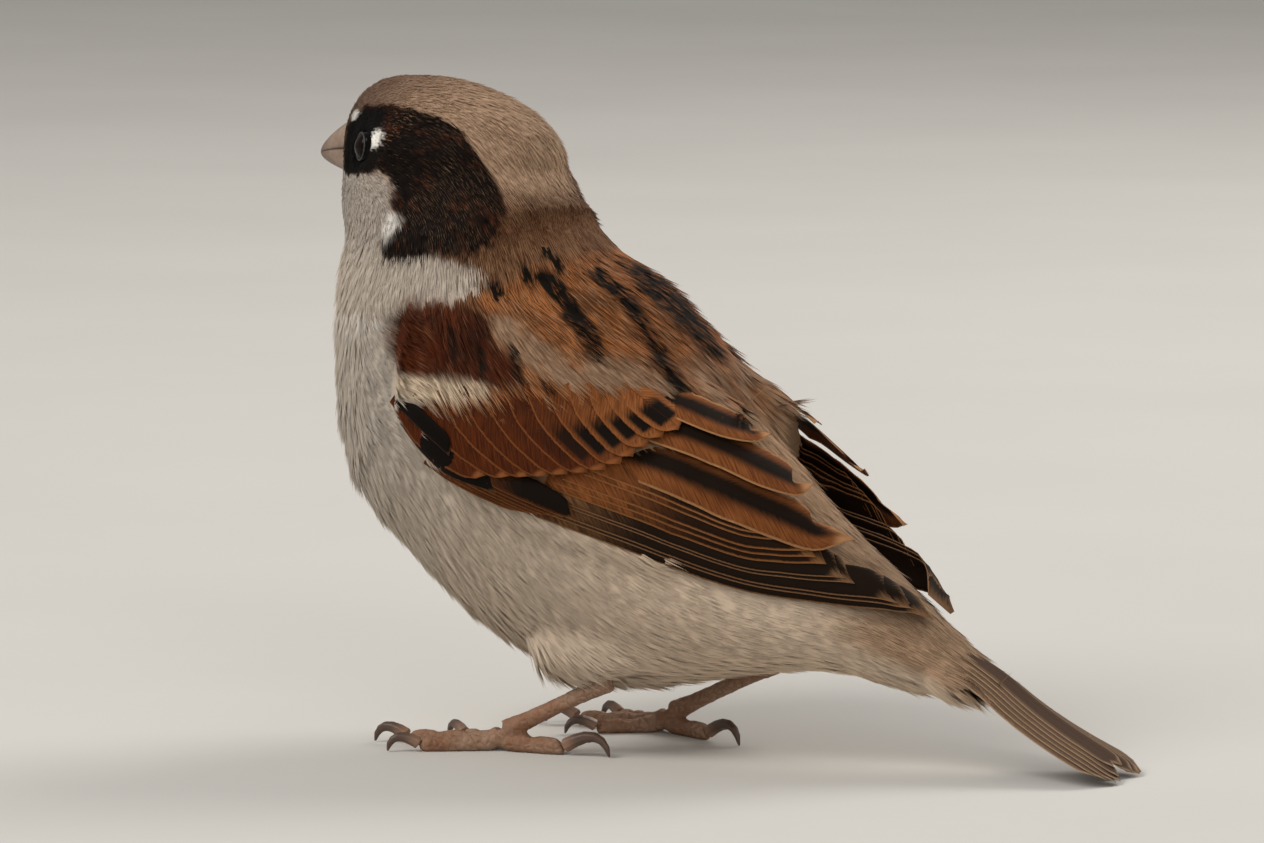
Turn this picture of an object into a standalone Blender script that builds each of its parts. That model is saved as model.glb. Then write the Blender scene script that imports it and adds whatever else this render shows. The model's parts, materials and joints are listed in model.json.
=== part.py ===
"""Male house sparrow, standing with its head turned to its right: a still model in solid pieces.

The bill points to -X and the tail to +X, the bird's right is +Y, and the floor is at z = 0.
Sizes are in millimetres and angles in degrees; MM turns them into metres as each mesh is made.
"""

import math
from collections import namedtuple

import bmesh
import bpy
import numpy as np
from mathutils import Vector

MM = 0.001
GAP = 0.3  # left between neighbouring solids
ROOM = 0.36  # how far a cutter stands off its piece, a little over the gap as its faces are flat
SHARPEST = 0.45  # limits how far a cutter's sharp corners are pushed out
FRAME_SHIFT = 3.06  # moves the middle of the bird's length onto x = 0
LEFT, RIGHT = -1, 1
SIDES = {"left": LEFT, "right": RIGHT}

# Flesh and plumage: rings from the crown down the neck and along the trunk to the root of the tail.
# back and front reach from the ring's centre along its own mid line, lean tips that line up at the
# back, turn swings it round with the head, and egg narrows the front half of the ring.
Ring = namedtuple("Ring", "x y z lean turn back front width egg")
RING_POINTS = 32
HEAD_TURN = 22.0
CROWN_HEIGHT = 11.6
CROWN_FORWARD = 3.9
FOREHEAD_POWER = 0.3  # lower than CROWN_POWER, so the brow is fuller than the nape
CROWN_POWER = 0.57
CROWN_RINGS = 7
EYE_LINE = Ring(-41.0, 2.0, 78.4, 0, HEAD_TURN, 17.8, 18.7, 13.3, 0.22)
HEAD_RINGS = (
    EYE_LINE,
    Ring(-41.0, 2.0, 74.3, 2, HEAD_TURN, 20.7, 18.1, 14.4, 0.22),
    Ring(-40.6, 1.6, 70.6, 9, 17, 21.6, 16.0, 15.8, 0.16),
)
NECK_RINGS = (
    HEAD_RINGS[-1],
    Ring(-40.0, 1.0, 66.6, 20, 9, 21.4, 18.0, 17.8, 0.10),
    Ring(-38.8, 0.4, 61.0, 31, 3, 21.8, 20.6, 20.0, 0.05),
)
TRUNK_RINGS = (
    NECK_RINGS[-1],
    Ring(-35.8, 0, 52.8, 42, 0, 23.9, 24.8, 21.8, 0),
    Ring(-27.6, 0, 43.4, 50, 0, 26.8, 25.4, 22.4, 0),
    Ring(-15.6, 0, 33.6, 56, 0, 25.8, 25.2, 21.6, 0),
    Ring(-4.0, 0, 26.2, 60, 0, 20.8, 21.4, 18.6, 0),
    Ring(9.0, 0, 21.0, 63, 0, 14.8, 12.0, 14.2, 0),
    Ring(21.4, 0, 18.0, 64, 0, 8.8, 7.2, 10.2, 0),
    Ring(31.0, 0, 14.4, 65, 0, 5.2, 5.6, 7.8, 0),
)

# Folded wing: a curved blade between a dorsal and a ventral edge, as (x, out from mid line, z).
# Each point lies at least WING_LIFT outside the trunk, whose flank sets how far out it comes.
WING_DORSAL = (
    (-38.0, 16.0, 61.0), (-25.0, 13.6, 62.6), (-11.6, 10.0, 58.6), (1.4, 6.8, 51.6),
    (10.8, 5.2, 44.2), (18.4, 5.6, 37.6), (24.6, 6.2, 30.8), (29.4, 6.0, 25.4), (33.4, 5.0, 21.4),
)
WING_VENTRAL = (
    (-39.4, 18.6, 45.0), (-30.6, 20.8, 37.6), (-19.2, 21.6, 32.2), (-7.4, 20.6, 28.6),
    (4.2, 17.4, 25.8), (13.4, 14.2, 23.8), (21.4, 11.0, 22.4), (28.0, 8.2, 21.3), (33.6, 5.4, 20.6),
)
WING_BULGE = (1.0, 3.0, 5.0, 6.0, 5.4, 3.8, 2.2, 1.1, 0.3)
WING_LIFT = (0.7, 1.5, 1.8, 1.8, 1.6, 1.4, 1.2, 1.0, 0.8)
WING_THICKNESS = (3.0, 3.4, 3.4, 3.0, 2.4, 1.8, 1.4, 1.1, 0.8)
WING_EDGE = 0.6  # thickness of the blade along its edges
FLANK_STEPS = 40
FLANK_NEAR = 1.5
COVERTS_END = 0.44  # how far along the wing the coverts reach, of 1
PRIMARIES_TOP = 0.62  # where the primaries begin, from the dorsal edge, of 1

# Tail: a closed fan laid back so that its outer tips rest on the floor.
TailRing = namedtuple("TailRing", "x z width up down droop")
TAIL_RINGS = (
    TailRing(31.6, 14.2, 7.5, 5.0, 5.2, 0.0),
    TailRing(37.0, 11.6, 8.2, 3.4, 3.4, 0.6),
    TailRing(43.0, 8.3, 11.0, 2.0, 1.8, 1.7),
    TailRing(50.0, 4.8, 13.9, 1.1, 0.8, 1.8),
    TailRing(56.2, 2.1, 15.6, 0.7, 0.5, 1.5),
    TailRing(58.8, 0.9, 15.6, 0.5, 0.5, 0.9),
)
TAIL_LEAN = 66.0
TAIL_FORK = 2.6

# Head's own pieces, placed from the eye line: ahead along the bill, out to the side, and up.
EYE_RADIUS = 2.9
EYE_AHEAD, EYE_OUT, EYE_UP = 4.9, 10.2, 2.2
BILL_LENGTH = 14.4
BILL_ROOT_AHEAD = 13.6
BILL_WIDTH, UPPER_DEPTH, LOWER_DEPTH = 4.2, 5.5, 5.2
GAPE_HEIGHT = 1.2
BILL_DROP = 1.4

# Legs: the tarsus runs from the ankle, hidden in the belly feathers, down to the foot.
FOOT_X = {"left": -27.4, "right": -13.7}
FOOT_OUT = 12.0
FOOT_HEIGHT = 2.3
ANKLE_BEHIND, ANKLE_HEIGHT = 16.2, 10.4
TARSUS_RADII = (1.5, 1.15, 1.05, 1.05, 1.15, 1.5)
THIGH_SIZE = (9.0, 5.6, 6.4)
THIGH_AHEAD, THIGH_OUT, THIGH_UP = 4.2, 11.2, 15.6
Toe = namedtuple("Toe", "heading length radius pads claw")
TOES = {
    "hallux": Toe(180.0, 9.4, 1.35, 2, 6.6),
    "inner": Toe(-34.0, 9.6, 1.15, 2, 4.2),
    "middle": Toe(2.0, 13.6, 1.30, 3, 4.8),
    "outer": Toe(30.0, 10.8, 1.20, 4, 4.2),
}
RIGHT_HALLUX_HEADING = -152.0  # the right one turns in under the bird
TOE_SIDES = 8
PAD_CREASE = 0.16  # how far a toe draws in between two pads, of its radius
TOE_ROOT, TOE_END, TOE_TIP = 1.12, 0.86, 0.6  # thickness where a toe starts, ends and is rounded off
SOLE_PRESS = 0.86  # height of a toe's middle over the floor, of its radius
CLAW_SIDES = 6
CLAW_BEND = 1.45
CLAW_ARCH = 0.26
CLAW_ROOT = 0.62
CLAW_TIP = 0.12

COLOURS = {
    "plumage_head": (0.23, 0.14, 0.09),
    "plumage_neck": (0.42, 0.33, 0.26),
    "plumage_trunk": (0.55, 0.49, 0.43),
    "wing_coverts": (0.24, 0.08, 0.03),
    "flight_feathers": (0.16, 0.09, 0.05),
    "tail_feathers": (0.20, 0.14, 0.11),
    "bill_horn": (0.45, 0.30, 0.25),
    "eye_surface": (0.01, 0.008, 0.006),
    "leg_scales": (0.46, 0.27, 0.20),
    "claw_horn": (0.14, 0.09, 0.07),
}
ROUGHNESS = {"bill_horn": 0.4, "eye_surface": 0.08, "leg_scales": 0.55, "claw_horn": 0.35}
PLUMAGE_ROUGHNESS = 0.8


def clear_scene():
    for thing in list(bpy.data.objects):
        bpy.data.objects.remove(thing, do_unlink=True)


def material(name):
    made = bpy.data.materials.get(name)
    if made is None:
        made = bpy.data.materials.new(name)
        made.use_nodes = True
        surface = made.node_tree.nodes["Principled BSDF"]
        surface.inputs["Base Color"].default_value = (*COLOURS[name], 1.0)
        surface.inputs["Roughness"].default_value = ROUGHNESS.get(name, PLUMAGE_ROUGHNESS)
        surface.inputs["Metallic"].default_value = 0.0
    return made


def smooth(keys, rows, at):
    """Reads rows, given at keys, at other places on a cubic curve through them all."""
    keys = np.asarray(keys, float)
    rows = np.asarray(rows, float)
    slopes = np.gradient(rows, keys, axis=0)
    at = np.clip(np.atleast_1d(at), keys[0], keys[-1])
    i = np.clip(np.searchsorted(keys, at, side="right") - 1, 0, len(keys) - 2)
    span = keys[i + 1] - keys[i]
    t = (at - keys[i]) / span
    if rows.ndim > 1:
        t, span = t[:, None], span[:, None]
    start = (1 + 2 * t) * (1 - t) ** 2 * rows[i] + t * (1 - t) ** 2 * span * slopes[i]
    end = t * t * (3 - 2 * t) * rows[i + 1] + t * t * (t - 1) * span * slopes[i + 1]
    return start + end


def solid(name, points, faces, material_name):
    """One object from points in millimetres, with its faces turned outwards."""
    shape = bmesh.new()
    corners = [shape.verts.new(((x + FRAME_SHIFT) * MM, y * MM, z * MM)) for x, y, z in points]
    for face in faces:
        shape.faces.new([corners[i] for i in face])
    bmesh.ops.recalc_face_normals(shape, faces=shape.faces)
    mesh = bpy.data.meshes.new(name)
    shape.to_mesh(mesh)
    shape.free()
    mesh.shade_smooth()
    mesh.set_sharp_from_angle(angle=math.radians(50))
    mesh.materials.append(material(material_name))
    made = bpy.data.objects.new(name, mesh)
    bpy.context.collection.objects.link(made)
    return made


def loft(name, rings, material_name):
    """A closed body through rings of equally many points, with a flat cap at each end."""
    count = len(rings[0])
    points = [point for ring in rings for point in ring]
    faces = [tuple(range(count)), tuple(range(len(points) - count, len(points)))]
    for k in range(len(rings) - 1):
        for j in range(count):
            a, b = k * count + j, k * count + (j + 1) % count
            faces.append((a, b, b + count, a + count))
    return solid(name, points, faces, material_name)


def grown(piece):
    """A hidden copy of a piece, larger by ROOM all round, to cut room for it in its neighbour."""
    mesh = piece.data.copy()
    shape = bmesh.new()
    shape.from_mesh(mesh)
    shape.normal_update()
    for corner in shape.verts:
        spread = sum((face.normal.dot(corner.normal) for face in corner.link_faces), 0.0)
        sharpness = max(spread / len(corner.link_faces), SHARPEST)
        corner.co += corner.normal * (ROOM * MM / sharpness)
    shape.to_mesh(mesh)
    shape.free()
    cutter = bpy.data.objects.new("room_for_" + piece.name, mesh)
    bpy.context.collection.objects.link(cutter)
    return cutter


def boolean(target, tool, operation):
    tool.hide_render = True
    tool.display_type = "WIRE"
    step = target.modifiers.new(tool.name, "BOOLEAN")
    step.operation = operation
    step.solver = "EXACT"
    step.object = tool


def make_room(target, *pieces):
    for piece in pieces:
        boolean(target, grown(piece), "DIFFERENCE")


def ring_points(ring, count=RING_POINTS):
    lean, turn = math.radians(ring.lean), math.radians(ring.turn)
    level = math.cos(lean)
    back = np.array((level * math.cos(turn), -level * math.sin(turn), math.sin(lean)))
    side = np.array((math.sin(turn), math.cos(turn), 0.0))
    centre = np.array((ring.x, ring.y, ring.z))
    points = []
    for angle in np.arange(count) * 2 * math.pi / count:
        along, across = math.cos(angle), math.sin(angle)
        reach = ring.back if along > 0 else ring.front
        narrowing = 1 - ring.egg * max(0.0, -along) ** 3
        points.append(centre + back * reach * along + side * ring.width * across * narrowing)
    return np.array(points)


def stretch(rings, count, shrink_start, shrink_end):
    """Rings spaced evenly through the given ones, with half a gap left off where asked."""
    centres = np.array([(ring.x, ring.y, ring.z) for ring in rings])
    steps = np.linalg.norm(np.diff(centres, axis=0), axis=1)
    keys = np.concatenate(([0], np.cumsum(steps)))
    start = GAP / 2 if shrink_start else 0
    end = keys[-1] - (GAP / 2 if shrink_end else 0)
    return [Ring(*row) for row in smooth(keys, rings, np.linspace(start, end, count))]


def crown_rings():
    """The dome of the head above the eye line, from the top down."""
    turn = math.radians(HEAD_TURN)
    rings = []
    for k in range(CROWN_RINGS):
        rise = math.sin(math.radians(88 - k * 88 / CROWN_RINGS))
        size = max((1 - rise * rise) ** CROWN_POWER, 0.02)
        brow = max((1 - rise * rise) ** FOREHEAD_POWER, 0.02)
        ahead = CROWN_FORWARD * rise * rise
        rings.append(EYE_LINE._replace(
            x=EYE_LINE.x - ahead * math.cos(turn), y=EYE_LINE.y + ahead * math.sin(turn),
            z=EYE_LINE.z + CROWN_HEIGHT * rise, egg=EYE_LINE.egg * (1 - rise),
            back=EYE_LINE.back * size, front=EYE_LINE.front * brow, width=EYE_LINE.width * size))
    return rings


def on_head(ahead, out, up):
    """A place told from the middle of the eye line, in the turned head's own directions."""
    turn = math.radians(HEAD_TURN)
    heading = np.array((-math.cos(turn), math.sin(turn), 0.0))
    side = np.array((math.sin(turn), math.cos(turn), 0.0))
    middle = np.array((EYE_LINE.x, EYE_LINE.y, EYE_LINE.z))
    return middle + heading * ahead + side * out + np.array((0.0, 0.0, up))


def eye(side):
    name, sign = side
    centre = on_head(EYE_AHEAD, sign * EYE_OUT, EYE_UP)
    rings = []
    for latitude in np.radians(np.linspace(-82, 82, 8)):
        angles = np.arange(12) * 2 * math.pi / 12
        across = EYE_RADIUS * math.cos(latitude)
        rings.append([centre + np.array((across * math.cos(a), across * math.sin(a),
                                         EYE_RADIUS * math.sin(latitude))) for a in angles])
    return loft("eye_" + name, rings, "eye_surface")


def mandible(name, depth, upwards):
    """Half of the conical bill: flat on the gape, rounded away from it, curving to the tip."""
    rings = []
    for step in np.linspace(0, 0.95, 9):
        t = 1 - (1 - step) ** 2
        taper = (1 - t) ** 0.5
        drop = BILL_DROP * t * t
        floor = GAPE_HEIGHT - drop + upwards * GAP / 2
        half = BILL_WIDTH * taper
        ring = []
        for angle in np.linspace(0, math.pi, 9):
            lift = upwards * depth * taper * math.sin(angle) ** 0.9
            ring.append(on_head(BILL_ROOT_AHEAD + BILL_LENGTH * t, half * math.cos(angle), floor + lift))
        rings.append(ring)
    return loft(name, rings, "bill_horn")


def flank(x, z):
    """How far out the trunk's own surface is at a place told in its side view, or 0 beyond it."""
    place = np.array((x, z))
    nearest, found = math.inf, 0.0
    for ring in stretch(TRUNK_RINGS, FLANK_STEPS, False, False):
        lean = math.radians(ring.lean)
        offset = place - np.array((ring.x, ring.z))
        along = offset @ (math.cos(lean), math.sin(lean))
        apart = abs(offset @ (math.sin(lean), -math.cos(lean)))
        reach = ring.back if along > 0 else ring.front
        if abs(along) < reach and apart < nearest:
            nearest, found = apart, ring.width * math.sqrt(1 - (along / reach) ** 2)
    return found if nearest < FLANK_NEAR else 0.0


def wing_point(side, along, down, lift=0.0):
    """A point of the folded wing: along from the shoulder to the tip, down from its dorsal edge."""
    keys = np.linspace(0, 1, len(WING_DORSAL))
    dorsal = smooth(keys, WING_DORSAL, along)[0]
    ventral = smooth(keys, WING_VENTRAL, along)[0]
    ahead = smooth(keys, WING_DORSAL, min(along + 0.02, 1.0))[0]
    behind = smooth(keys, WING_DORSAL, max(along - 0.02, 0.0))[0]
    outward = np.cross(ahead - behind, ventral - dorsal)
    outward /= np.linalg.norm(outward)
    outward *= math.copysign(1.0, outward[1])
    arch = 4 * down * (1 - down)
    point = dorsal + (ventral - dorsal) * down + outward * smooth(keys, WING_BULGE, along)[0] * arch
    clear = smooth(keys, WING_LIFT, along)[0] * (0.4 + 0.6 * arch ** 0.5)
    point[1] = max(point[1], flank(point[0], point[2]) + clear)
    return (point + outward * lift) * np.array((1, side, 1))


def wing_chord(along):
    keys = np.linspace(0, 1, len(WING_DORSAL))
    return np.linalg.norm(smooth(keys, WING_VENTRAL, along)[0] - smooth(keys, WING_DORSAL, along)[0])


def wing_depth(along, down):
    keys = np.linspace(0, 1, len(WING_DORSAL))
    full = smooth(keys, WING_THICKNESS, along)[0]
    rim = min(1.0, 5 * down * (1 - down) + 0.05)
    front = min(1.0, 0.3 + 6 * along)
    return max(WING_EDGE, full * rim ** 0.7 * front)


def wing_piece(name, side, span, top, bottom, columns, rows, material_name):
    """A closed blade over part of the wing: top and bottom give its edges at each place along."""
    outer, inner = [], []
    for along in np.linspace(*span, columns):
        for down in np.linspace(top(along), bottom(along), rows):
            outer.append(wing_point(side, along, down))
            inner.append(wing_point(side, along, down, -wing_depth(along, down)))
    points = outer + inner
    under = columns * rows
    faces = []
    for k in range(columns - 1):
        for j in range(rows - 1):
            a, b = k * rows + j, (k + 1) * rows + j
            faces.append((a, a + 1, b + 1, b))
            faces.append((under + b, under + b + 1, under + a + 1, under + a))
    rim = [k * rows for k in range(columns)]
    rim += [(columns - 1) * rows + j for j in range(1, rows)]
    rim += [k * rows + rows - 1 for k in range(columns - 2, -1, -1)]
    rim += list(range(rows - 2, 0, -1))
    for a, b in zip(rim, rim[1:] + rim[:1]):
        faces.append((a, b, under + b, under + a))
    return solid(name, points, faces, material_name)


def wing(side):
    name, sign = side
    half = GAP / 2

    def above(along):
        return PRIMARIES_TOP - half / wing_chord(along)

    def below(along):
        return PRIMARIES_TOP + half / wing_chord(along)

    step = half / 80
    tip = 0.985
    return [
        wing_piece("wing_coverts_" + name, sign, (0, COVERTS_END - step), lambda a: 0.0, lambda a: 1.0,
                   11, 10, "wing_coverts"),
        wing_piece("wing_secondaries_" + name, sign, (COVERTS_END + step, tip), lambda a: 0.0, above,
                   11, 6, "flight_feathers"),
        wing_piece("wing_primaries_" + name, sign, (COVERTS_END + step, tip), below, lambda a: 1.0,
                   11, 4, "flight_feathers"),
    ]


def tail():
    keys = [ring.x for ring in TAIL_RINGS]
    lean = math.radians(TAIL_LEAN)
    rings = []
    for x in np.linspace(keys[0], keys[-1], 11):
        row = TailRing(*smooth(keys, TAIL_RINGS, x)[0])
        spread = (x - keys[0]) / (keys[-1] - keys[0])
        ring = []
        for angle in np.arange(24) * 2 * math.pi / 24:
            up, across = math.sin(angle), math.cos(angle)
            height = (row.up if up > 0 else row.down) * up
            fork = TAIL_FORK * spread ** 4 * (abs(across) ** 1.5 - 0.6)
            z = row.z + height * math.sin(lean) - row.droop * across * across
            ring.append((x + fork + height * math.cos(lean), row.width * across, max(z, 0.0)))
        rings.append(ring)
    return loft("tail", rings, "tail_feathers")


def tube(name, path, radii, sides, material_name, flat=None):
    """A round body along a path; what would lie below flat is pressed level with it."""
    path = [Vector(point) for point in path]
    rings = []
    for k, centre in enumerate(path):
        ahead = (path[min(k + 1, len(path) - 1)] - path[max(k - 1, 0)]).normalized()
        side = ahead.cross(Vector((0, 0, 1))).normalized()
        up = side.cross(ahead)
        ring = []
        for angle in (np.arange(sides) + 0.5) * 2 * math.pi / sides:
            point = centre + (side * math.cos(angle) + up * math.sin(angle)) * radii[k]
            if flat is not None:
                point.z = max(point.z, flat)
            ring.append(tuple(point))
        rings.append(ring)
    return loft(name, rings, material_name)


def toe_direction(side, toe):
    """Level direction of a toe; headings are told from straight ahead, outwards."""
    heading = math.radians(toe.heading)
    return Vector((-math.cos(heading), side * math.sin(heading), 0))


def toe_tube(name, root, side, toe):
    """A row of pads that thins towards the claw, pressed flat on the floor."""
    ahead = toe_direction(side, toe)
    path, radii = [], []
    for t in np.linspace(0, 1, 4 * toe.pads + 1):
        pad = 1 - PAD_CREASE * (1 - abs(math.sin(math.pi * toe.pads * t)))
        radius = toe.radius * pad * (TOE_ROOT + (TOE_END - TOE_ROOT) * t)
        if t == 1:
            radius *= TOE_TIP
        arch = FOOT_HEIGHT / 2 * max(0.0, 1 - t * toe.length / FOOT_HEIGHT) ** 2
        point = root + ahead * toe.length * t
        path.append((point.x, point.y, radius * SOLE_PRESS + arch))
        radii.append(radius)
    return tube(name, path, radii, TOE_SIDES, "leg_scales", flat=0.0)


def claw(name, root, side, toe):
    """A curved claw that starts at the toe's end and comes down to the floor."""
    ahead = toe_direction(side, toe)
    start = root + ahead * (toe.length + GAP)
    root_height = toe.radius * SOLE_PRESS
    path, radii = [], []
    for t in np.linspace(0, 1, 7):
        reach = toe.claw * math.sin(t * CLAW_BEND) / math.sin(CLAW_BEND)
        arch = toe.claw * CLAW_ARCH * math.sin(math.pi * t)
        height = root_height * (1 - t ** 2) + arch + CLAW_TIP
        path.append((start.x + ahead.x * reach, start.y + ahead.y * reach, height))
        radii.append(toe.radius * CLAW_ROOT * (1 - t) ** 0.6 + CLAW_TIP)
    return tube(name, path, radii, CLAW_SIDES, "claw_horn", flat=0.0)


def leg(side):
    name, sign = side
    root = Vector((FOOT_X[name], sign * FOOT_OUT, 0))
    joint = root + Vector((0, 0, FOOT_HEIGHT))
    ankle = joint + Vector((ANKLE_BEHIND, 0, ANKLE_HEIGHT - FOOT_HEIGHT))
    foot = None
    pieces = []
    for toe_name, toe in TOES.items():
        if toe_name == "hallux" and sign == RIGHT:
            toe = toe._replace(heading=RIGHT_HALLUX_HEADING)
        made = toe_tube(f"toe_{toe_name}_{name}", root, sign, toe)
        pieces.append(claw(f"claw_{toe_name}_{name}", root, sign, toe))
        if foot is None:
            foot = made
            foot.name = "foot_" + name
        else:
            boolean(foot, made, "UNION")
    path = [joint.lerp(ankle, 0.07 + 0.93 * t) for t in np.linspace(0, 1, len(TARSUS_RADII))]
    tarsus = tube("tarsus_" + name, path, TARSUS_RADII, 10, "leg_scales", flat=0.4)
    make_room(foot, tarsus)
    middle = np.array((ankle.x - THIGH_AHEAD, sign * THIGH_OUT, THIGH_UP))
    rings = []
    for latitude in np.radians(np.linspace(-80, 80, 8)):
        angles = np.arange(14) * 2 * math.pi / 14
        size = math.cos(latitude)
        rings.append([middle + np.array((THIGH_SIZE[0] * size * math.cos(a),
                                         THIGH_SIZE[1] * size * math.sin(a),
                                         THIGH_SIZE[2] * math.sin(latitude))) for a in angles])
    thigh = loft("thigh_" + name, rings, "plumage_trunk")
    make_room(thigh, tarsus)
    return thigh, tarsus


def build():
    clear_scene()
    head = loft("head", [ring_points(ring) for ring in crown_rings()]
                + [ring_points(ring) for ring in stretch(HEAD_RINGS, 4, False, True)],
                "plumage_head")
    neck = loft("neck", [ring_points(ring) for ring in stretch(NECK_RINGS, 6, True, True)],
                "plumage_neck")
    trunk = loft("trunk", [ring_points(ring) for ring in stretch(TRUNK_RINGS, 19, True, True)],
                 "plumage_trunk")
    tail()
    bill = [mandible("bill_upper", UPPER_DEPTH, 1), mandible("bill_lower", LOWER_DEPTH, -1)]
    make_room(head, *bill, *[eye(side) for side in SIDES.items()])
    for side in SIDES.items():
        coverts, *remiges = wing(side)
        make_room(neck, coverts)
        make_room(trunk, coverts, *remiges)
        thigh, tarsus = leg(side)
        make_room(trunk, thigh, tarsus)


build()
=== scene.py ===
import json
import math

import bmesh
import bpy
import numpy as np
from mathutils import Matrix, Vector
from mathutils.bvhtree import BVHTree

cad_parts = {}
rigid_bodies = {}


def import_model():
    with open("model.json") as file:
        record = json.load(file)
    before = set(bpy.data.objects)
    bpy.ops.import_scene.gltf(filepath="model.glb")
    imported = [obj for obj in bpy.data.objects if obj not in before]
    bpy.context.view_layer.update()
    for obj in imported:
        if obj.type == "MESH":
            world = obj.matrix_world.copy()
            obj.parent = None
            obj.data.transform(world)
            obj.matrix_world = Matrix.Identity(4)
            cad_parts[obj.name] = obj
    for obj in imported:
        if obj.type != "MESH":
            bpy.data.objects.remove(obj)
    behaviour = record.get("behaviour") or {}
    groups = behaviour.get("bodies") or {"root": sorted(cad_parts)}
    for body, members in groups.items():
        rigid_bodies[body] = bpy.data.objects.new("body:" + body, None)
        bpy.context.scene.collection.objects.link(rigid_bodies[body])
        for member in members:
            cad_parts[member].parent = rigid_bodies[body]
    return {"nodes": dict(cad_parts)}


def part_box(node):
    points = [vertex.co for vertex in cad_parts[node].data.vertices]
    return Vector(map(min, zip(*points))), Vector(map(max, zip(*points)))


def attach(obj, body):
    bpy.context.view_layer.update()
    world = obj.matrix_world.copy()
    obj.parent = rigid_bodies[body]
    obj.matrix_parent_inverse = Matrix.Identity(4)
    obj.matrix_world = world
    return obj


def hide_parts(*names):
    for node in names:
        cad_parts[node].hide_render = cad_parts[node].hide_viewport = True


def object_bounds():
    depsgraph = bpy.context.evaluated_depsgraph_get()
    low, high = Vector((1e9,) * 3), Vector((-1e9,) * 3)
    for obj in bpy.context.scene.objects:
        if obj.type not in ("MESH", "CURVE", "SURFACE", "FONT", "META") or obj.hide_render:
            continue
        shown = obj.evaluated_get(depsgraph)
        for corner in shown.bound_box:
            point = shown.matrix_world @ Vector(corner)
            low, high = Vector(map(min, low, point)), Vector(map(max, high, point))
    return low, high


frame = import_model()
cadLow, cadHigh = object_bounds()
nodes = frame["nodes"]
mm = 0.001
sides = {"left": -1, "right": 1}
centre = (cadLow + cadHigh) / 2


def tone(red, green, blue):  # a paint colour from 0-255 values
    made = []
    for value in (red / 255, green / 255, blue / 255):
        made.append(value / 12.92 if value <= 0.04045 else ((value + 0.055) / 1.055) ** 2.4)
    return (*made, 1)


def feed(tree, socket, value):  # joins a wire to a socket, or sets a plain value on it
    if isinstance(value, Wire):
        tree.links.new(value.socket, socket)
    else:
        socket.default_value = value


class Wire:
    def __init__(self, tree, socket=None):
        self.tree = tree
        self.socket = socket

    def node(self, kind, settings, sockets, output=0):  # any node: settings first, then its sockets
        made = self.tree.nodes.new(kind)
        for name, value in settings.items():
            setattr(made, name, value)
        for name, value in sockets.items():
            feed(self.tree, made.inputs[name], value)
        return Wire(self.tree, made.outputs[output])

    def twin(self, name):  # another output of the same node
        return Wire(self.tree, self.socket.node.outputs[name])

    def maths(self, operation, first, second=0.0):
        return self.node("ShaderNodeMath", {"operation": operation}, {0: first, 1: second})

    def __add__(self, other):
        return self.maths("ADD", self, other)

    __radd__ = __add__

    def __sub__(self, other):
        return self.maths("SUBTRACT", self, other)

    def __rsub__(self, other):
        return self.maths("SUBTRACT", other, self)

    def __mul__(self, other):
        return self.maths("MULTIPLY", self, other)

    __rmul__ = __mul__

    def __abs__(self):
        return self.maths("ABSOLUTE", self)

    def least(self, other):
        return self.maths("MINIMUM", self, other)

    def most(self, other):
        return self.maths("MAXIMUM", self, other)

    def step(self, low, high):  # 0 below low and 1 above high, smooth between
        return self.node("ShaderNodeMapRange", {"interpolation_type": "SMOOTHSTEP"}, {0: self, 1: low,
                                                                                      2: high})

    def mix(self, colourA, colourB):  # this wire is the share of colourB
        return self.node("ShaderNodeMix", {"data_type": "RGBA"}, {0: self, 6: colourA, 7: colourB}, 2)

    def fact(self, name, output=2):  # a number kept on the mesh; output 1 gives a vector
        return self.node("ShaderNodeAttribute", {"attribute_name": name}, {}, output)

    def place(self):
        return self.node("ShaderNodeTexCoord", {}, {}, 3)

    def noise(self, where, scale, detail=2.0, stretch=None):
        if stretch:
            where = self.node("ShaderNodeMapping", {}, {"Vector": where, "Scale": stretch})
        return self.node("ShaderNodeTexNoise", {}, {"Vector": where, "Scale": scale, "Detail": detail})

    def pair(self, x, y, z=0.0):
        return self.node("ShaderNodeCombineXYZ", {}, {0: x, 1: y, 2: z})

    def bump(self, height, strength, distance):
        return self.node("ShaderNodeBump", {}, {"Height": height, "Strength": strength, "Distance": distance})

    def shaded(self, shade):  # this colour times a number
        return self.node("ShaderNodeMix", {"data_type": "RGBA", "blend_type": "MULTIPLY"},
                         {0: 1.0, 6: self, 7: self.pair(shade, shade, shade)}, 2)

    def surface(self, **sockets):  # feeds the material's own shader
        shader = self.tree.nodes["Principled BSDF"]
        for name, value in sockets.items():
            feed(self.tree, shader.inputs[name.replace("_", " ")], value)


def finish(name):  # a new material and a wire to build it from
    material = bpy.data.materials.new(name)
    material.use_nodes = True
    return material, Wire(material.node_tree)


def placed(name, data):  # a new object in the scene
    made = bpy.data.objects.new(name, data)
    bpy.context.scene.collection.objects.link(made)
    return made


def smoothed(mesh):
    mesh.polygons.foreach_set("use_smooth", [True] * len(mesh.polygons))


def newPiece(name, points, faces):
    mesh = bpy.data.meshes.new(name)
    mesh.from_pydata([tuple(p) for p in points], [], faces)
    mesh.validate()
    mesh.update()
    smoothed(mesh)
    return placed(name, mesh)


def settle(piece, *pieceNodes, slot, material=None):  # rides, replaces and takes its finish
    if material:
        piece.data.materials.clear()
        piece.data.materials.append(material)
    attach(piece, "root")
    if pieceNodes:
        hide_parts(*pieceNodes)


def triangles(piece):
    return sum(len(face.vertices) - 2 for face in piece.data.polygons)


def getPoints(mesh, what="co"):
    values = np.zeros(len(mesh.vertices) * 3)
    if what == "co":
        mesh.vertices.foreach_get("co", values)
    else:
        mesh.vertex_normals.foreach_get("vector", values)
    return values.reshape(-1, 3)


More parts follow.
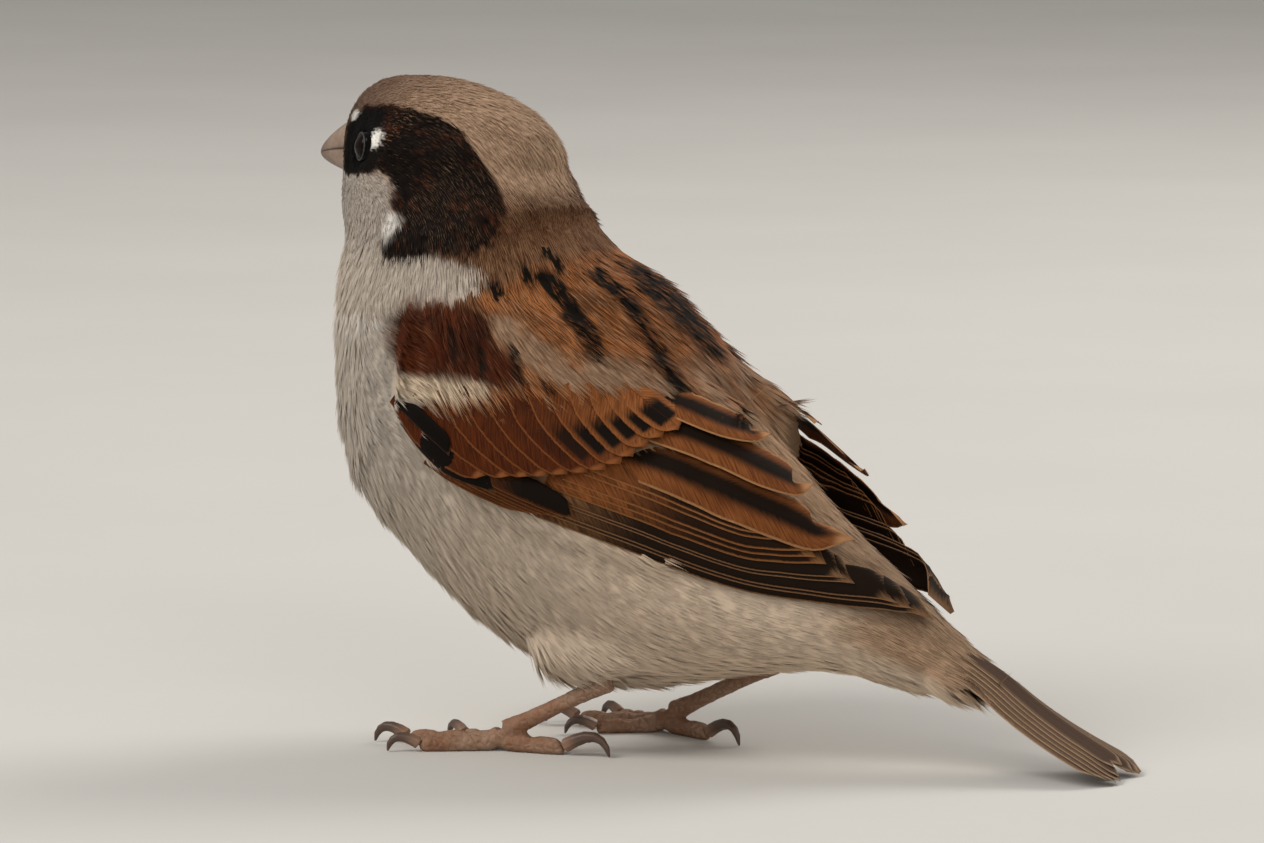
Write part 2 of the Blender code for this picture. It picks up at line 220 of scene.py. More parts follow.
def setPoints(mesh, points):
    mesh.vertices.foreach_set("co", points.astype(np.float32).ravel())
    mesh.update()


def setFact(mesh, name, values):  # a number or a vector for each point
    kind, key = ("FLOAT_VECTOR", "vector") if values.ndim == 2 else ("FLOAT", "value")
    kept = mesh.attributes.get(name) or mesh.attributes.new(name, kind, "POINT")
    kept.data.foreach_set(key, values.astype(np.float32).ravel())


def getFact(mesh, name, vector=False):
    values = np.zeros(len(mesh.vertices) * (3 if vector else 1), np.float32)
    mesh.attributes[name].data.foreach_get("vector" if vector else "value", values)
    return values.reshape(-1, 3) if vector else values


def freeze(piece):  # the evaluated mesh in place of its modifiers
    bpy.context.view_layer.update()
    result = piece.evaluated_get(bpy.context.evaluated_depsgraph_get())
    made = bpy.data.meshes.new_from_object(result)
    piece.modifiers.clear()
    old = piece.data
    piece.data = made
    bpy.data.meshes.remove(old)
    return piece


def pieceOf(label, made):  # a piece from a finished bmesh, which goes
    mesh = bpy.data.meshes.new(label)
    made.to_mesh(mesh)
    made.free()
    return placed(label, mesh)


def treeFrom(mesh):
    return BVHTree.FromPolygons([v.co for v in mesh.vertices], [face.vertices for face in mesh.polygons])


def welded(label, names, grow=0.0):  # one mesh from copies of CAD nodes, each grown along its normals
    whole = bmesh.new()
    for name in names:
        part = bmesh.new()
        part.from_mesh(nodes[name].data)
        bmesh.ops.remove_doubles(part, verts=part.verts, dist=1e-6)
        bmesh.ops.recalc_face_normals(part, faces=part.faces)
        part.normal_update()
        for v in part.verts:
            v.co += v.normal * grow
        mesh = bpy.data.meshes.new("part")
        part.to_mesh(mesh)
        whole.from_mesh(mesh)
        bpy.data.meshes.remove(mesh)
        part.free()
    return pieceOf(label, whole)


def fuse(piece, voxel):
    remesh = piece.modifiers.new("fuse", "REMESH")
    remesh.mode = "VOXEL"
    remesh.voxel_size = voxel
    return freeze(piece)


def relax(mesh, rounds, pull=0.5, push=1.04):  # evens a mesh out and holds its size
    edges = np.zeros(len(mesh.edges) * 2, int)
    mesh.edges.foreach_get("vertices", edges)
    edges = edges.reshape(-1, 2)
    count = len(mesh.vertices)
    near = np.bincount(edges.ravel(), minlength=count)[:, None]
    points = getPoints(mesh)
    for turn in range(rounds * 2):
        total = np.zeros_like(points)
        for axis in range(3):
            total[:, axis] = np.bincount(edges[:, 0], points[edges[:, 1], axis], count)
            total[:, axis] += np.bincount(edges[:, 1], points[edges[:, 0], axis], count)
        step = pull if turn % 2 == 0 else -pull * push
        points += step * (total / np.maximum(near, 1) - points)
    setPoints(mesh, points)


def ramp(values, low, high):  # smooth 0 to 1
    share = np.clip((values - low) / (high - low), 0, 1)
    return share * share * (3 - 2 * share)


def fade(values, low, high):  # smooth 1 to 0
    return 1 - ramp(values, low, high)


def unit(vectors):
    return vectors / np.maximum(np.linalg.norm(vectors, axis=-1, keepdims=True), 1e-12)


def nearLine(x, y, line):  # how far each place is from a line of points
    away = np.full(len(x), 1e9)
    for (x0, y0), (x1, y1) in zip(line[:-1], line[1:]):
        dx, dy = x1 - x0, y1 - y0
        share = np.clip(((x - x0) * dx + (y - y0) * dy) / (dx * dx + dy * dy), 0, 1)
        away = np.minimum(away, np.hypot(x - x0 - share * dx, y - y0 - share * dy))
    return away


def inside(x, y, outline, soft):  # 1 inside an outline and 0 outside, over a soft edge
    closed = outline + outline[:1]
    away = nearLine(x, y, closed)
    within = np.zeros(len(x), bool)
    for (x0, y0), (x1, y1) in zip(closed[:-1], closed[1:]):
        crosses = (y0 > y) != (y1 > y)
        within ^= crosses & (x < x0 + (y - y0) * (x1 - x0) / ((y1 - y0) or 1e-9))
    return ramp(np.where(within, away, -away), -soft, soft)


# angles in degrees, the rest in millimetres
camera = {"azimuth": 25, "elevation": 6.5, "distance": 946.2, "aside": -8.84, "above": -0.33, "lens": 200}
azimuth, elevation = math.radians(camera["azimuth"]), math.radians(camera["elevation"])
level = math.cos(elevation)
back = Vector((math.sin(azimuth) * level, -math.cos(azimuth) * level, math.sin(elevation)))
viewRight = Vector((math.cos(azimuth), math.sin(azimuth), 0))
eyepiece = placed("camera", bpy.data.cameras.new("camera"))
eyepiece.data.lens = camera["lens"]
eyepiece.data.clip_start, eyepiece.data.clip_end = 0.05, 20
aim = centre + viewRight * camera["aside"] * mm + back.cross(viewRight) * camera["above"] * mm
eyepiece.location = aim + back * camera["distance"] * mm
eyepiece.rotation_euler = (-back).to_track_quat("-Z", "Y").to_euler()
bpy.context.scene.camera = eyepiece

lights = {  # name: place, size, watts, colour
    "windowLight": ((-0.75, -0.85, 1.15), 0.9, 15, (1.0, 0.985, 0.96)),
    "fillLight": ((0.9, -1.1, 0.55), 0.9, 5, (0.97, 0.985, 1.0)),
    "rimLight": ((0.35, 1.0, 0.95), 0.8, 9, (1.0, 0.98, 0.95)),
}
for name, (place, size, watts, colour) in lights.items():
    lamp = bpy.data.lights.new(name, "AREA")
    lamp.shape = "DISK"
    lamp.size = size
    lamp.energy = watts
    lamp.color = colour
    holder = placed(name, lamp)
    holder.location = place
    holder.rotation_euler = (centre - Vector(place)).to_track_quat("-Z", "Y").to_euler()
world = bpy.data.worlds.new("softRoom")
bpy.context.scene.world = world
world.use_nodes = True
roomLight = {"Color": (0.95, 0.94, 0.92, 1), "Strength": 0.45}
for name, value in roomLight.items():
    world.node_tree.nodes["Background"].inputs[name].default_value = value
bpy.context.scene.view_settings.view_transform = "Standard"

floorShape = {"reach": 9.0, "wall": 6.0, "bend": (0.4, 0.12), "top": (0.6, 4)}  # metres
reach, wall = floorShape["reach"], floorShape["wall"]
floorPoints = [(-reach, -reach, 0), (reach, -reach, 0), (reach, wall, 0), (-reach, wall, 0)]
for past, height in (floorShape["bend"], floorShape["top"]):
    floorPoints += [(reach, wall + past, height), (-reach, wall + past, height)]
floorMesh = bpy.data.meshes.new("floor")
floorMesh.from_pydata(floorPoints, [], [(0, 1, 2, 3), (3, 2, 4, 5), (5, 4, 6, 7)])
floor = placed("floor", floorMesh)
material, wire = finish("paleFloor")
cloudy = wire.noise(wire.place(), 9, 4)
wire.surface(Base_Color=cloudy.mix(tone(206, 203, 197), tone(196, 192, 186)), Roughness=0.85)
floorMesh.materials.append(material)
material, wire = finish("paleWall")
cloudy = wire.noise(wire.place(), 0.9, 2)
wire.surface(Base_Color=cloudy.mix(tone(206, 201, 193), tone(188, 180, 170)), Roughness=0.9,
             Emission_Color=tone(206, 200, 190), Emission_Strength=0.16)
floorMesh.materials.append(material)
for face, index in zip(floorMesh.polygons, (0, 1, 1)):
    face.material_index = index
print("camera, lights and floor")


bodyParts = ["head", "neck", "trunk", "thigh_left", "thigh_right", "wing_coverts_left", "wing_coverts_right"]
eyeParts = ["eye_left", "eye_right"]
bodyShape = {"grow": 0.35, "voxel": 0.85, "evening": 6}
# the tail: where its flesh stops, which way it runs, and a place on its middle line
tailRoot = {"end": (44.0, 0, 8.0), "go": (27.5, 0, -13.4), "through": (34.5, 0, 14.4)}


def clipped(piece, place, way):  # keeps what lies behind a plane, closed again
    made = bmesh.new()
    made.from_mesh(piece.data)
    every = made.verts[:] + made.edges[:] + made.faces[:]
    cut = bmesh.ops.bisect_plane(made, geom=every, plane_co=place, plane_no=way, clear_outer=True)
    bmesh.ops.holes_fill(made, edges=[e for e in cut["geom_cut"] if isinstance(e, bmesh.types.BMEdge)])
    made.to_mesh(piece.data)
    made.free()


def merged(label, pieces):  # one mesh from several, which go
    whole = bmesh.new()
    for piece in pieces:
        whole.from_mesh(piece.data)
        bpy.data.objects.remove(piece)
    return pieceOf(label, whole)


grownBy = bodyShape["grow"] * mm
tailStub = welded("tailStub", ["tail"], grownBy)
tailEnd = Vector([value * mm for value in tailRoot["end"]])
clipped(tailStub, tailEnd, Vector(tailRoot["go"]).normalized())
hull = merged("hull", [welded("body", bodyParts + eyeParts, grownBy), tailStub])
fuse(hull, bodyShape["voxel"] * mm)
relax(hull.data, bodyShape["evening"])
setPoints(hull.data, getPoints(hull.data) - getPoints(hull.data, "normal") * grownBy)


def treeOf(names):
    whole = welded("whole", names)
    tree = treeFrom(whole.data)
    bpy.data.objects.remove(whole)
    return tree


wingNodes = [f"wing_{part}_{side}" for side in sides for part in ("coverts", "secondaries", "primaries")]
wingTree = treeOf(wingNodes)
headTree = treeOf(["head", *eyeParts])
neckTree = treeOf(["neck"])
trunkTree = treeOf(["trunk", "thigh_left", "thigh_right", "tail"])

wrist = np.array((-36.64, 0.0, 47.7)) * mm
slope = math.radians(20.2)  # how far the folded wing hangs below level
sideGo = np.array((math.cos(slope), 0, -math.sin(slope)))
sideRise = np.array((math.sin(slope), 0, math.cos(slope)))


def fourAround(grid, **padding):  # the mean of the four cells round each
    padded = np.pad(grid, 1, **padding)
    return (padded[:-2, 1:-1] + padded[2:, 1:-1] + padded[1:-1, :-2] + padded[1:-1, 2:]) / 4


class Chart:  # the plumage surface seen square on: a smoothed height over a flat plane
    def __init__(self, tree, origin, go, out, low, high, cell=0.8, rounds=5, past=2.0):
        self.origin = np.array(origin, float)
        self.go = unit(np.array(go, float))
        self.out = unit(np.array(out, float) - self.go * float(np.dot(out, self.go)))
        self.rise = np.cross(self.out, self.go) * np.sign(np.cross(self.out, self.go)[2] or 1)
        self.low, self.cell, self.tree = np.array(low, float), cell, tree
        counts = [int((h - l) / cell) + 1 for l, h in zip(low, high)]
        grid = np.full(counts, np.nan)
        for i in range(counts[0]):
            for j in range(counts[1]):
                foot = self.origin + (self.go * (low[0] + i * cell) + self.rise * (low[1] + j * cell)) * mm
                hit = tree.ray_cast(Vector(foot + self.out * 0.06), Vector(-self.out), 0.12)
                if hit[0] is not None and hit[0].y < past * mm:
                    grid[i, j] = (np.array(hit[0]) - foot) @ self.out / mm
        known = ~np.isnan(grid)
        filled = np.where(known, grid, np.nanmean(grid))
        for turn in range(160):  # carries the surface on past its edges
            filled = np.where(known, grid, fourAround(filled, mode="reflect", reflect_type="odd"))
        for turn in range(rounds):
            filled = (filled + fourAround(filled, mode="edge")) / 2
        self.grid = filled

    def height(self, u, v):
        x = np.clip((u - self.low[0]) / self.cell, 0, self.grid.shape[0] - 1.001)
        y = np.clip((v - self.low[1]) / self.cell, 0, self.grid.shape[1] - 1.001)
        i, j = x.astype(int), y.astype(int)
        a, b = x - i, y - j
        near, far = (self.grid[i, k] * (1 - a) + self.grid[i + 1, k] * a for k in (j, j + 1))
        return near * (1 - b) + far * b

    def point(self, u, v, above):
        u, v, above = (np.asarray(value, float)[..., None] for value in (u, v, above))
        return self.origin + (self.go * u + self.rise * v + self.out * above) * mm

    def seen(self, u, w):  # from side-view places to places on this chart
        place = wrist + (sideGo * u + sideRise * w) * mm
        hit = self.tree.ray_cast(Vector(place + np.array((0, -0.05, 0))), Vector((0, 1, 0)), 0.1)
        if hit[0] is None:
            hit = self.tree.find_nearest(Vector(place))
        gap = (np.array(hit[0]) - self.origin) / mm
        return gap @ self.go, gap @ self.rise


def curveThrough(points, count):  # evenly spaced places on a smooth line through a few points
    points = np.array(points, float)
    ends = np.vstack([2 * points[0] - points[1], points, 2 * points[-1] - points[-2]])
    fine = []
    for k in range(len(points) - 1):
        p0, p1, p2, p3 = ends[k:k + 4]
        for t in np.linspace(0, 1, 16, endpoint=k == len(points) - 2):
            fine.append(0.5 * (2 * p1 + (p2 - p0) * t + (2 * p0 - 5 * p1 + 4 * p2 - p3) * t ** 2
                               + (3 * p1 - p0 - 3 * p2 + p3) * t ** 3))
    fine = np.array(fine)
    length = np.concatenate([[0], np.cumsum(np.linalg.norm(np.diff(fine, axis=0), axis=1))])
    at = np.linspace(0, length[-1], count)
    return np.stack([np.interp(at, length, fine[:, k]) for k in range(fine.shape[1])], 1), length[-1]


flight = welded("flight", ["wing_secondaries_left", "wing_primaries_left"])
outer = bmesh.new()
outer.from_mesh(hull.data)
outer.from_mesh(flight.data)
outerTree = BVHTree.FromBMesh(outer)
outer.free()
bpy.data.objects.remove(flight)
up = math.radians(28)  # how far the wing's face leans up
outward = np.array((0, -math.cos(up), 0)) + sideRise * math.sin(up)
wingChart = Chart(outerTree, wrist, sideGo, outward, (-12, -16), (88, 42))
print("wing chart")


def onWing(path):
    return [wingChart.seen(u, w) for u, w in path]


def between(path, share):  # a place on a line of points, by its share of the points
    at = share * (len(path) - 1)
    k = min(int(at), len(path) - 2)
    part = at - k
    return tuple(a * (1 - part) + b * part for a, b in zip(path[k], path[k + 1]))


spine = {  # the line that the body follows, from crown to tail: x and height, in mm
    "x": [-38.0, -37.6, -36.5, -32.5, -24.5, -12.5, -1.0, 12.0, 24.5, 34.0, 62.0],
    "z": [86.0, 76.0, 61.0, 52.8, 43.4, 33.6, 26.0, 21.0, 18.0, 14.4, 1.0],
}
spineX, spineZ = (np.interp(np.linspace(0, 10, 201), range(11), spine[axis]) for axis in ("x", "z"))
for turn in range(30):
    spineX[1:-1] = (spineX[:-2] + spineX[2:]) / 2
    spineZ[1:-1] = (spineZ[:-2] + spineZ[2:]) / 2
spineLength = np.concatenate([[0], np.cumsum(np.hypot(np.diff(spineX), np.diff(spineZ)))])
spineGo = unit(np.stack([np.gradient(spineX), np.gradient(spineZ)], 1))


# how far down the spine, which way it runs there, and the angle round it from the back
def alongSpine(points):
    flat = points[:, [0, 2]] / mm
    best = np.zeros(len(flat), int)
    batch = 20000
    for start in range(0, len(flat), batch):
        part = flat[start:start + batch]
        gap = (part[:, None, 0] - spineX) ** 2 + (part[:, None, 1] - spineZ) ** 2
        best[start:start + batch] = gap.argmin(1)
    go = spineGo[best]
    outX, outZ = flat[:, 0] - spineX[best], flat[:, 1] - spineZ[best]
    above = outX * -go[:, 1] + outZ * go[:, 0]  # towards the back
    turn = np.arctan2(points[:, 1] / mm, above)
    return spineLength[best], go, turn


neckLine = {  # the neck's middle and how far it is turned, by height in mm above the floor
    "z": [52.8, 61.0, 66.6, 70.6, 74.3, 78.4],
    "x": [-32.7, -35.7, -36.9, -37.5, -37.9, -37.9],
    "y": [0, 0.4, 1.0, 1.6, 2.0, 2.0],
    "turn": [0, 3, 9, 17, 22, 22],
}
eyeLevel = 78.4


def onHead(points):  # ahead, out to the bird's right, and above the eye line, all in mm
    x, y, z = (points / mm).T
    turn = np.radians(np.interp(z, neckLine["z"], neckLine["turn"]))
    x = x - np.interp(z, neckLine["z"], neckLine["x"])
    y = y - np.interp(z, neckLine["z"], neckLine["y"])
    ahead = -x * np.cos(turn) + y * np.sin(turn)
    return ahead, x * np.sin(turn) + y * np.cos(turn), z - eyeLevel


headOutlines = {  # seen from the side: ahead and above, in mm
    "band": [(12.5, 4.6), (10.5, 6.6), (8.6, 7.6), (6.8, 7.8), (3.2, 7.9), (-0.8, 7.7), (-4.2, 7.2),
        (-7.9, 6.2), (-10.4, 5.0), (-12.8, 2.6), (-14.6, 0.4), (-17.0, -2.2), (-18.2, -4.2), (-17.6, -6.2),
        (-16.6, -8.6), (-14.0, -10.4), (-11.3, -10.4), (-7.7, -10.6), (-4.5, -11.4), (-0.9, -11.5),
        (0.4, -10.0), (-1.0, -8.8), (-2.6, -7.2), (-3.2, -5.6), (-2.4, -4.4), (-2.6, -2.6), (-1.2, -0.9),
        (0.2, -0.5), (3.0, -0.9), (6.0, -1.4), (8.2, -1.6), (12.5, -1.2)],
    "cheek": [(12.0, -1.8), (8.2, -1.9), (6.0, -1.6), (3.0, -1.1), (0.4, -0.8), (-1.1, -1.3), (-2.3, -2.8),
        (-2.2, -4.6), (-2.8, -5.8), (-3.6, -6.6), (-3.0, -7.4), (-1.0, -9.0), (1.2, -10.6), (4.0, -11.6),
        (10.0, -11.0), (14.0, -6.0)],
    "notch": [(-1.9, -6.2), (-2.9, -6.0), (-4.5, -6.3), (-3.9, -7.0), (-2.4, -8.4), (-0.9, -9.3),
        (-0.9, -8.4), (-1.6, -7.2)],
    "crescent": [(-0.6, -11.6), (-5.0, -11.2), (-8.4, -11.4), (-12.4, -11.6), (-15.6, -12.8), (-14.0, -15.0),
        (-9.4, -16.8), (-3.4, -18.2), (3.0, -19.5), (14.0, -20.0), (16.0, -12.0), (8.0, -10.6), (1.5, -10.8)],
    "collar": [(-13.0, 1.0), (-15.6, -0.6), (-18.6, -2.8), (-21.5, -5.6), (-22.6, -8.6), (-21.0, -11.4),
        (-16.4, -12.8), (-10.8, -12.6), (-7.6, -11.2), (-12.0, -9.0), (-15.0, -5.0)],
}
headSpots = {  # ahead, above, half length and half height
    "eyeSpot": (2.6, 3.7, 1.2, 1.35),
    "browSpot": (11.2, 6.2, 1.5, 0.8),
}


wingOutlines = {  # seen from the side: along the wing and above it, in mm from the wrist
    "lesser": [(-3.2, 13.4), (-4.2, 10.4), (-3.6, 7.4), (-1.0, 5.6), (2.6, 4.4), (6.2, 5.8), (10.0, 7.2),
        (15.0, 8.8), (17.6, 10.6), (14.5, 12.9), (11.6, 13.9), (10.0, 15.2), (9.4, 16.6), (5.8, 16.6),
        (1.0, 15.6)],
    "bar": [(0.6, 4.4), (4.0, 5.9), (8.0, 7.3), (11.4, 8.4), (13.4, 8.8), (13.8, 7.6), (12.6, 6.4),
        (10.6, 5.2), (7.4, 3.9), (3.6, 2.4), (0.4, 1.8)],
    "greyOne": [(8.9, 17.0), (11.6, 17.4), (15.0, 16.6), (18.4, 15.9), (22.0, 14.8), (25.4, 13.7),
        (24.0, 11.9), (19.0, 12.3), (16.1, 13.2), (13.8, 13.3), (11.0, 14.7)],
    "greyTwo": [(23.8, 16.7), (27.6, 17.6), (31.6, 17.0), (35.6, 16.4), (36.6, 14.9), (31.6, 13.6),
        (28.9, 12.8), (25.4, 13.2), (22.6, 14.2)],
    "greyThree": [(32.6, 19.4), (38.2, 17.4), (44.4, 16.0), (52, 14.0), (60, 10.0), (70, 4.5), (70, 2.0),
        (58, 7.0), (47.0, 12.6), (43.4, 13.4), (38.6, 16.0), (34.5, 17.4)],
}
wingStrokes = {  # dark streaks: places on each, and its half width
    "streakA": ([(11.2, 22.7), (13.7, 22.0), (15.8, 21.2), (17.4, 20.0), (20.0, 19.2), (22.1, 18.3),
        (24.5, 16.6)], 0.85),
    "streakD": ([(22.0, 27.0), (26.0, 25.8), (30.0, 24.0), (34.0, 21.8)], 0.4),
    "streakE": ([(9.6, 25.4), (11.6, 24.6), (13.0, 23.6)], 0.35),
    "streakB": ([(16.0, 24.7), (18.4, 24.0), (21.0, 23.6), (23.1, 22.4), (25.4, 21.5), (28.2, 19.6),
        (30.9, 18.2), (33.8, 16.6)], 0.55),
    "streakC": ([(16.8, 26.4), (19.2, 25.7), (22.0, 24.8), (24.6, 24.0), (27.5, 22.9), (31.2, 21.2),
        (35.0, 19.2)], 0.5),
    "fleckA": ([(7.2, 19.8), (8.6, 18.8)], 0.7),
    "fleckB": ([(5.5, 13.2), (7.0, 10.2)], 0.4),
    "fleckC": ([(10.4, 12.1), (12.0, 9.4)], 0.5),
    "fleckD": ([(13.9, 13.9), (16.8, 10.8)], 0.6),
    "fleckE": ([(19.6, 11.9), (21.9, 10.6)], 0.5),
    "fleckF": ([(34.6, 16.2), (36.0, 15.6)], 0.7),
    "fleckG": ([(9.0, 23.0), (10.6, 21.6)], 0.5),
}
shoulderEdge = np.array([(-3, -0.9), (2.0, 1.2), (7.0, 3.4), (12.0, 5.4), (17.0, 7.4), (22.0, 9.2),
    (27.0, 10.8), (33.0, 12.4), (40.0, 14.4), (48.0, 14.4)])
mantleEdge = np.array([(3.0, 18.0), (8.0, 20.0), (10.5, 23.5), (15.0, 26.5), (24.0, 34.0)])
foldedWing = [(24.0, -7.4), (36.3, -7.2), (52.1, -5.4), (65.9, -3.4), (74.4, -1.4), (77.6, -0.2),
    (77.6, 1.8), (70.5, 4.7), (64.8, 7.6), (57.8, 11.6), (49.4, 14.9), (40, 15.2), (30, 12.0), (24.0, 6.0)]
wingBelow = np.array([(4.0, -2.2), (13.4, -5.5), (24.8, -6.7), (36.3, -6.5), (52.1, -4.6), (65.9, -2.7),
    (74.2, -0.7)])
tuckUnder = 1.8  # mm of coat that goes on under the wing's lower edge


def fromSide(points):  # along the folded wing and above it, in mm from the wrist, as seen from the side
    gap = (points - wrist) / mm
    return gap @ sideGo, gap @ sideRise


def wobble(points, scale, seed=0):  # smooth noise from -1 to 1, the same each run
    p = points / mm * scale + seed
    total = np.zeros(len(p))
    for turn, (a, b, c) in enumerate(((1.0, 0.3, 0.6), (-0.5, 0.9, 0.7), (0.7, -0.8, 0.4), (0.2, 0.6, -1.1))):
        wave = 1 + 0.37 * turn
        total += np.sin((p[:, 0] * a + p[:, 1] * b + p[:, 2] * c) * wave * 2.1 + turn * 1.7)
    return total / 3.2


# mm down the spine
downTheBody = {"belly": (34, 62), "rump": (62, 74), "vent": (62, 80), "tailward": (84, 100)}


def markings(points):  # how much of each marking there is at each point
    ahead, out, above = onHead(points)
    down, _, turn = alongSpine(points)
    shift = wobble(points, 1.3) * 0.35
    nearHead = ramp(above, -21, -17)
    marks = {name: inside(ahead + shift, above + shift, line, 0.55) for name, line in headOutlines.items()}
    for name, (a, h, long, tall) in headSpots.items():
        marks[name] = fade(np.hypot((ahead - a) / long, (above - h) / tall), 0.7, 1.15)
    bill = fade(np.hypot((ahead - 13.0) / 3.2, np.hypot(out, above + 0.2) / 5.6), 0.75, 1.2)
    marks["black"] = np.maximum(marks["band"] * ramp(ahead, -0.5, 3.5), bill * ramp(above, -2.4, -1.2))
    marks["bib"] = fade(np.abs(out), 2.0, 4.2) * ramp(ahead, 5.0, 9.0) * ramp(above, -15, -11)
    marks["bib"] *= 1 - ramp(above, -2.5, -1.0)
    marks["front"] = np.where(nearHead > 0, ramp(ahead, 2.0, 6.5), 0) * fade(above, -2.2, -0.8)
    trunkUpper = np.where(above > -16, 1 - ramp(ahead, -11.5, -7.0), 1 - ramp(np.abs(turn), 1.45, 1.85))
    headUpper = 1 - ramp(ahead, 4.0, 8.0) * fade(above, -1.5, 0)
    marks["back"] = np.where(above > -10.0, headUpper, trunkUpper)
    marks["cap"] = ramp(above, -6.5, -1.5)
    across, over = fromSide(points)
    aboveEdge = over - np.interp(across, *wingBelow.T)
    marks["back"] *= 1 - fade(aboveEdge, 0.5, 3.0) * fade(across, 60, 72) * ramp(across, -2, 4)
    marks["brow"] = ramp(ahead, -9, 12)
    marks["band"] *= 1 - ramp(points[:, 1] / mm, 1, 5) * fade(ahead, -13, -8)
    marks["band"] *= 1 - fade(np.abs(out), 5.5, 8.5) * fade(ahead, -9, -5)
    marks["notch"] *= 0.8
    marks["crescent"] *= 1 - 0.8 * ramp(-ahead, 8, 16)
    for name, (start, end) in downTheBody.items():
        marks[name] = ramp(down, start, end)
    for name in ("cheek", "notch", "band", "black", "eyeSpot", "browSpot", "collar"):
        marks[name] = marks[name] * nearHead
    ruffle = wobble(points, 2.1, 5) * 0.5
    wing = {name: inside(across + ruffle, over + ruffle, line, 0.7) for name, line in wingOutlines.items()}
    marks["lesser"], marks["bar"] = wing["lesser"], wing["bar"]
    marks["hoary"] = np.maximum(wing["greyOne"], np.maximum(wing["greyTwo"], wing["greyThree"]))
    marks["streak"] = np.zeros(len(points))
    for line, half in wingStrokes.values():
        gap = nearLine(across + ruffle * 0.6, over, line)
        marks["streak"] = np.maximum(marks["streak"], 1 - ramp(gap, half * 0.8, half * 1.25))
    atShoulder = over - np.interp(across, *shoulderEdge.T)
    atMantle = over + ruffle - np.interp(across, *mantleEdge.T)
    marks["mantle"] = ramp(across, 5.5, 8.5) * ramp(atShoulder, -2, 0) * fade(atMantle, -1.6, 1.0)
    marks["mantle"] *= fade(across + ruffle * 2, 37, 44) * (1 - marks["lesser"])
    marks["wing"] = ramp(atShoulder, -2.5, -1) * ramp(across, -6, -3) * marks["mantle"]
    return marks


def mark(mesh, points):  # keeps the markings on a mesh, three to a vector
    marks = markings(points)
    marks["white"] = np.clip(marks["notch"] + marks["eyeSpot"] + marks["browSpot"], 0, 1)
    for name, parts in markSets.items():
        setFact(mesh, name, np.stack([marks[part] for part in parts], 1))


markSets = {
    "markHead": ("band", "black", "cheek"), "markPale": ("white", "crescent", "front"),
    "markBack": ("back", "cap", "rump"), "markUnder": ("belly", "vent", "brow"),
    "markRear": ("bib", "tailward", "mantle"), "markWing": ("lesser", "bar", "hoary"),
    "markDark": ("streak", "wing", "collar"),
}


skinShape = {"face": 0.1, "head": 0.3, "body": 0.75, "wing": 0.7, "socket": 1.1}  # mm under the solids
napeShape = {"x": -18.5, "z": 72.5, "radius": 3.6, "depth": 1.0}  # a hollow behind the head
tailFlesh = {"from": 36, "to": 44, "thinner": 0.45, "higher": 0.75}
tailTops = {"x": [34.9, 40.3, 46.3], "z": [18.0, 13.8, 9.1]}
# mm: how far off a wing hides the body, and where the back stays open
coverShape = {"reach": 9, "wingPast": 6.5, "openBack": 7}
skin = placed("skin", hull.data.copy())
skin.data.name = "skin"
hullPoints = getPoints(skin.data)
hullX, hullY, hullZ = (hullPoints / mm).T
hullNormals = getPoints(skin.data, "normal")
ahead, out, above = onHead(hullPoints)
down, go, turnRound = alongSpine(hullPoints)
turned = np.abs(turnRound)  # 0 on the back and half a turn on the belly
across, over = fromSide(hullPoints)
eyes = {side: (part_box(f"eye_{side}")[0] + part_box(f"eye_{side}")[1]) / 2 for side in sides}
eyeSize = {"ball": 2.3, "set": 0.5, "lid": 1.75, "ahead": 0.42, "out": 0.90, "above": 0.10}
headTurn = math.radians(22)
forward = Vector((-math.cos(headTurn), math.sin(headTurn), 0))
rightward = Vector((math.sin(headTurn), math.cos(headTurn), 0))
eyeAxes, eyeGap = {}, np.full(len(hullPoints), 1e9)
for side, sign in sides.items():
    axis = forward * eyeSize["ahead"] + rightward * sign * eyeSize["out"] + Vector((0, 0, eyeSize["above"]))
    eyeAxes[side] = axis.normalized()
    axis = np.array(eyeAxes[side])
    fromEye = hullPoints - np.array(eyes[side])
    along = fromEye @ axis
    aside = np.linalg.norm(fromEye - along[:, None] * axis, axis=1)
    eyeGap = np.minimum(eyeGap, np.where(along > 0, aside, 1e9) / mm)
billBase = (np.array(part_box("bill_upper")[1]) + np.array(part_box("bill_lower")[0])) / 2
billGap = np.linalg.norm(hullPoints - billBase, axis=1) / mm
headShare = ramp(above, -14, -6)
faceShare = headShare * ramp(ahead, -2, 5)
depth = skinShape["body"] + (skinShape["head"] - skinShape["body"]) * headShare
depth += (skinShape["face"] - skinShape["head"]) * faceShare
owner = np.zeros(len(hullPoints), int)  # 0 head, 1 neck, 2 trunk, 3 wing
covered = np.zeros(len(hullPoints))  # 1 under a wing
for index, (point, normal) in enumerate(zip(hullPoints, hullNormals)):
    at = Vector(point)
    gaps = [tree.find_nearest(at)[3] for tree in (headTree, neckTree, trunkTree, wingTree)]
    owner[index] = int(np.argmin(gaps))
    if owner[index] == 2:
        outward = Vector(normal)
        sideways = Vector((0, math.copysign(1, at.y), 0))
        start = at + outward * 0.2 * mm
        ways = (outward.normalized(), (outward + sideways).normalized())
        hits = [wingTree.ray_cast(start, way, coverShape["reach"] * mm)[0] for way in ways]
        covered[index] = any(hit is not None for hit in hits)
underWing = inside(across, over, foldedWing, 0.01) > 0.5
covered = np.where((owner == 2) & underWing & (np.abs(hullY) > coverShape["wingPast"]), 1, covered)
covered = np.where(over < np.interp(across, *wingBelow.T) + tuckUnder, 0, covered)
openBack = (owner == 2) & (np.abs(hullY) < coverShape["openBack"]) & (hullNormals[:, 2] > 0.2)
covered = np.where(openBack, 0, covered)
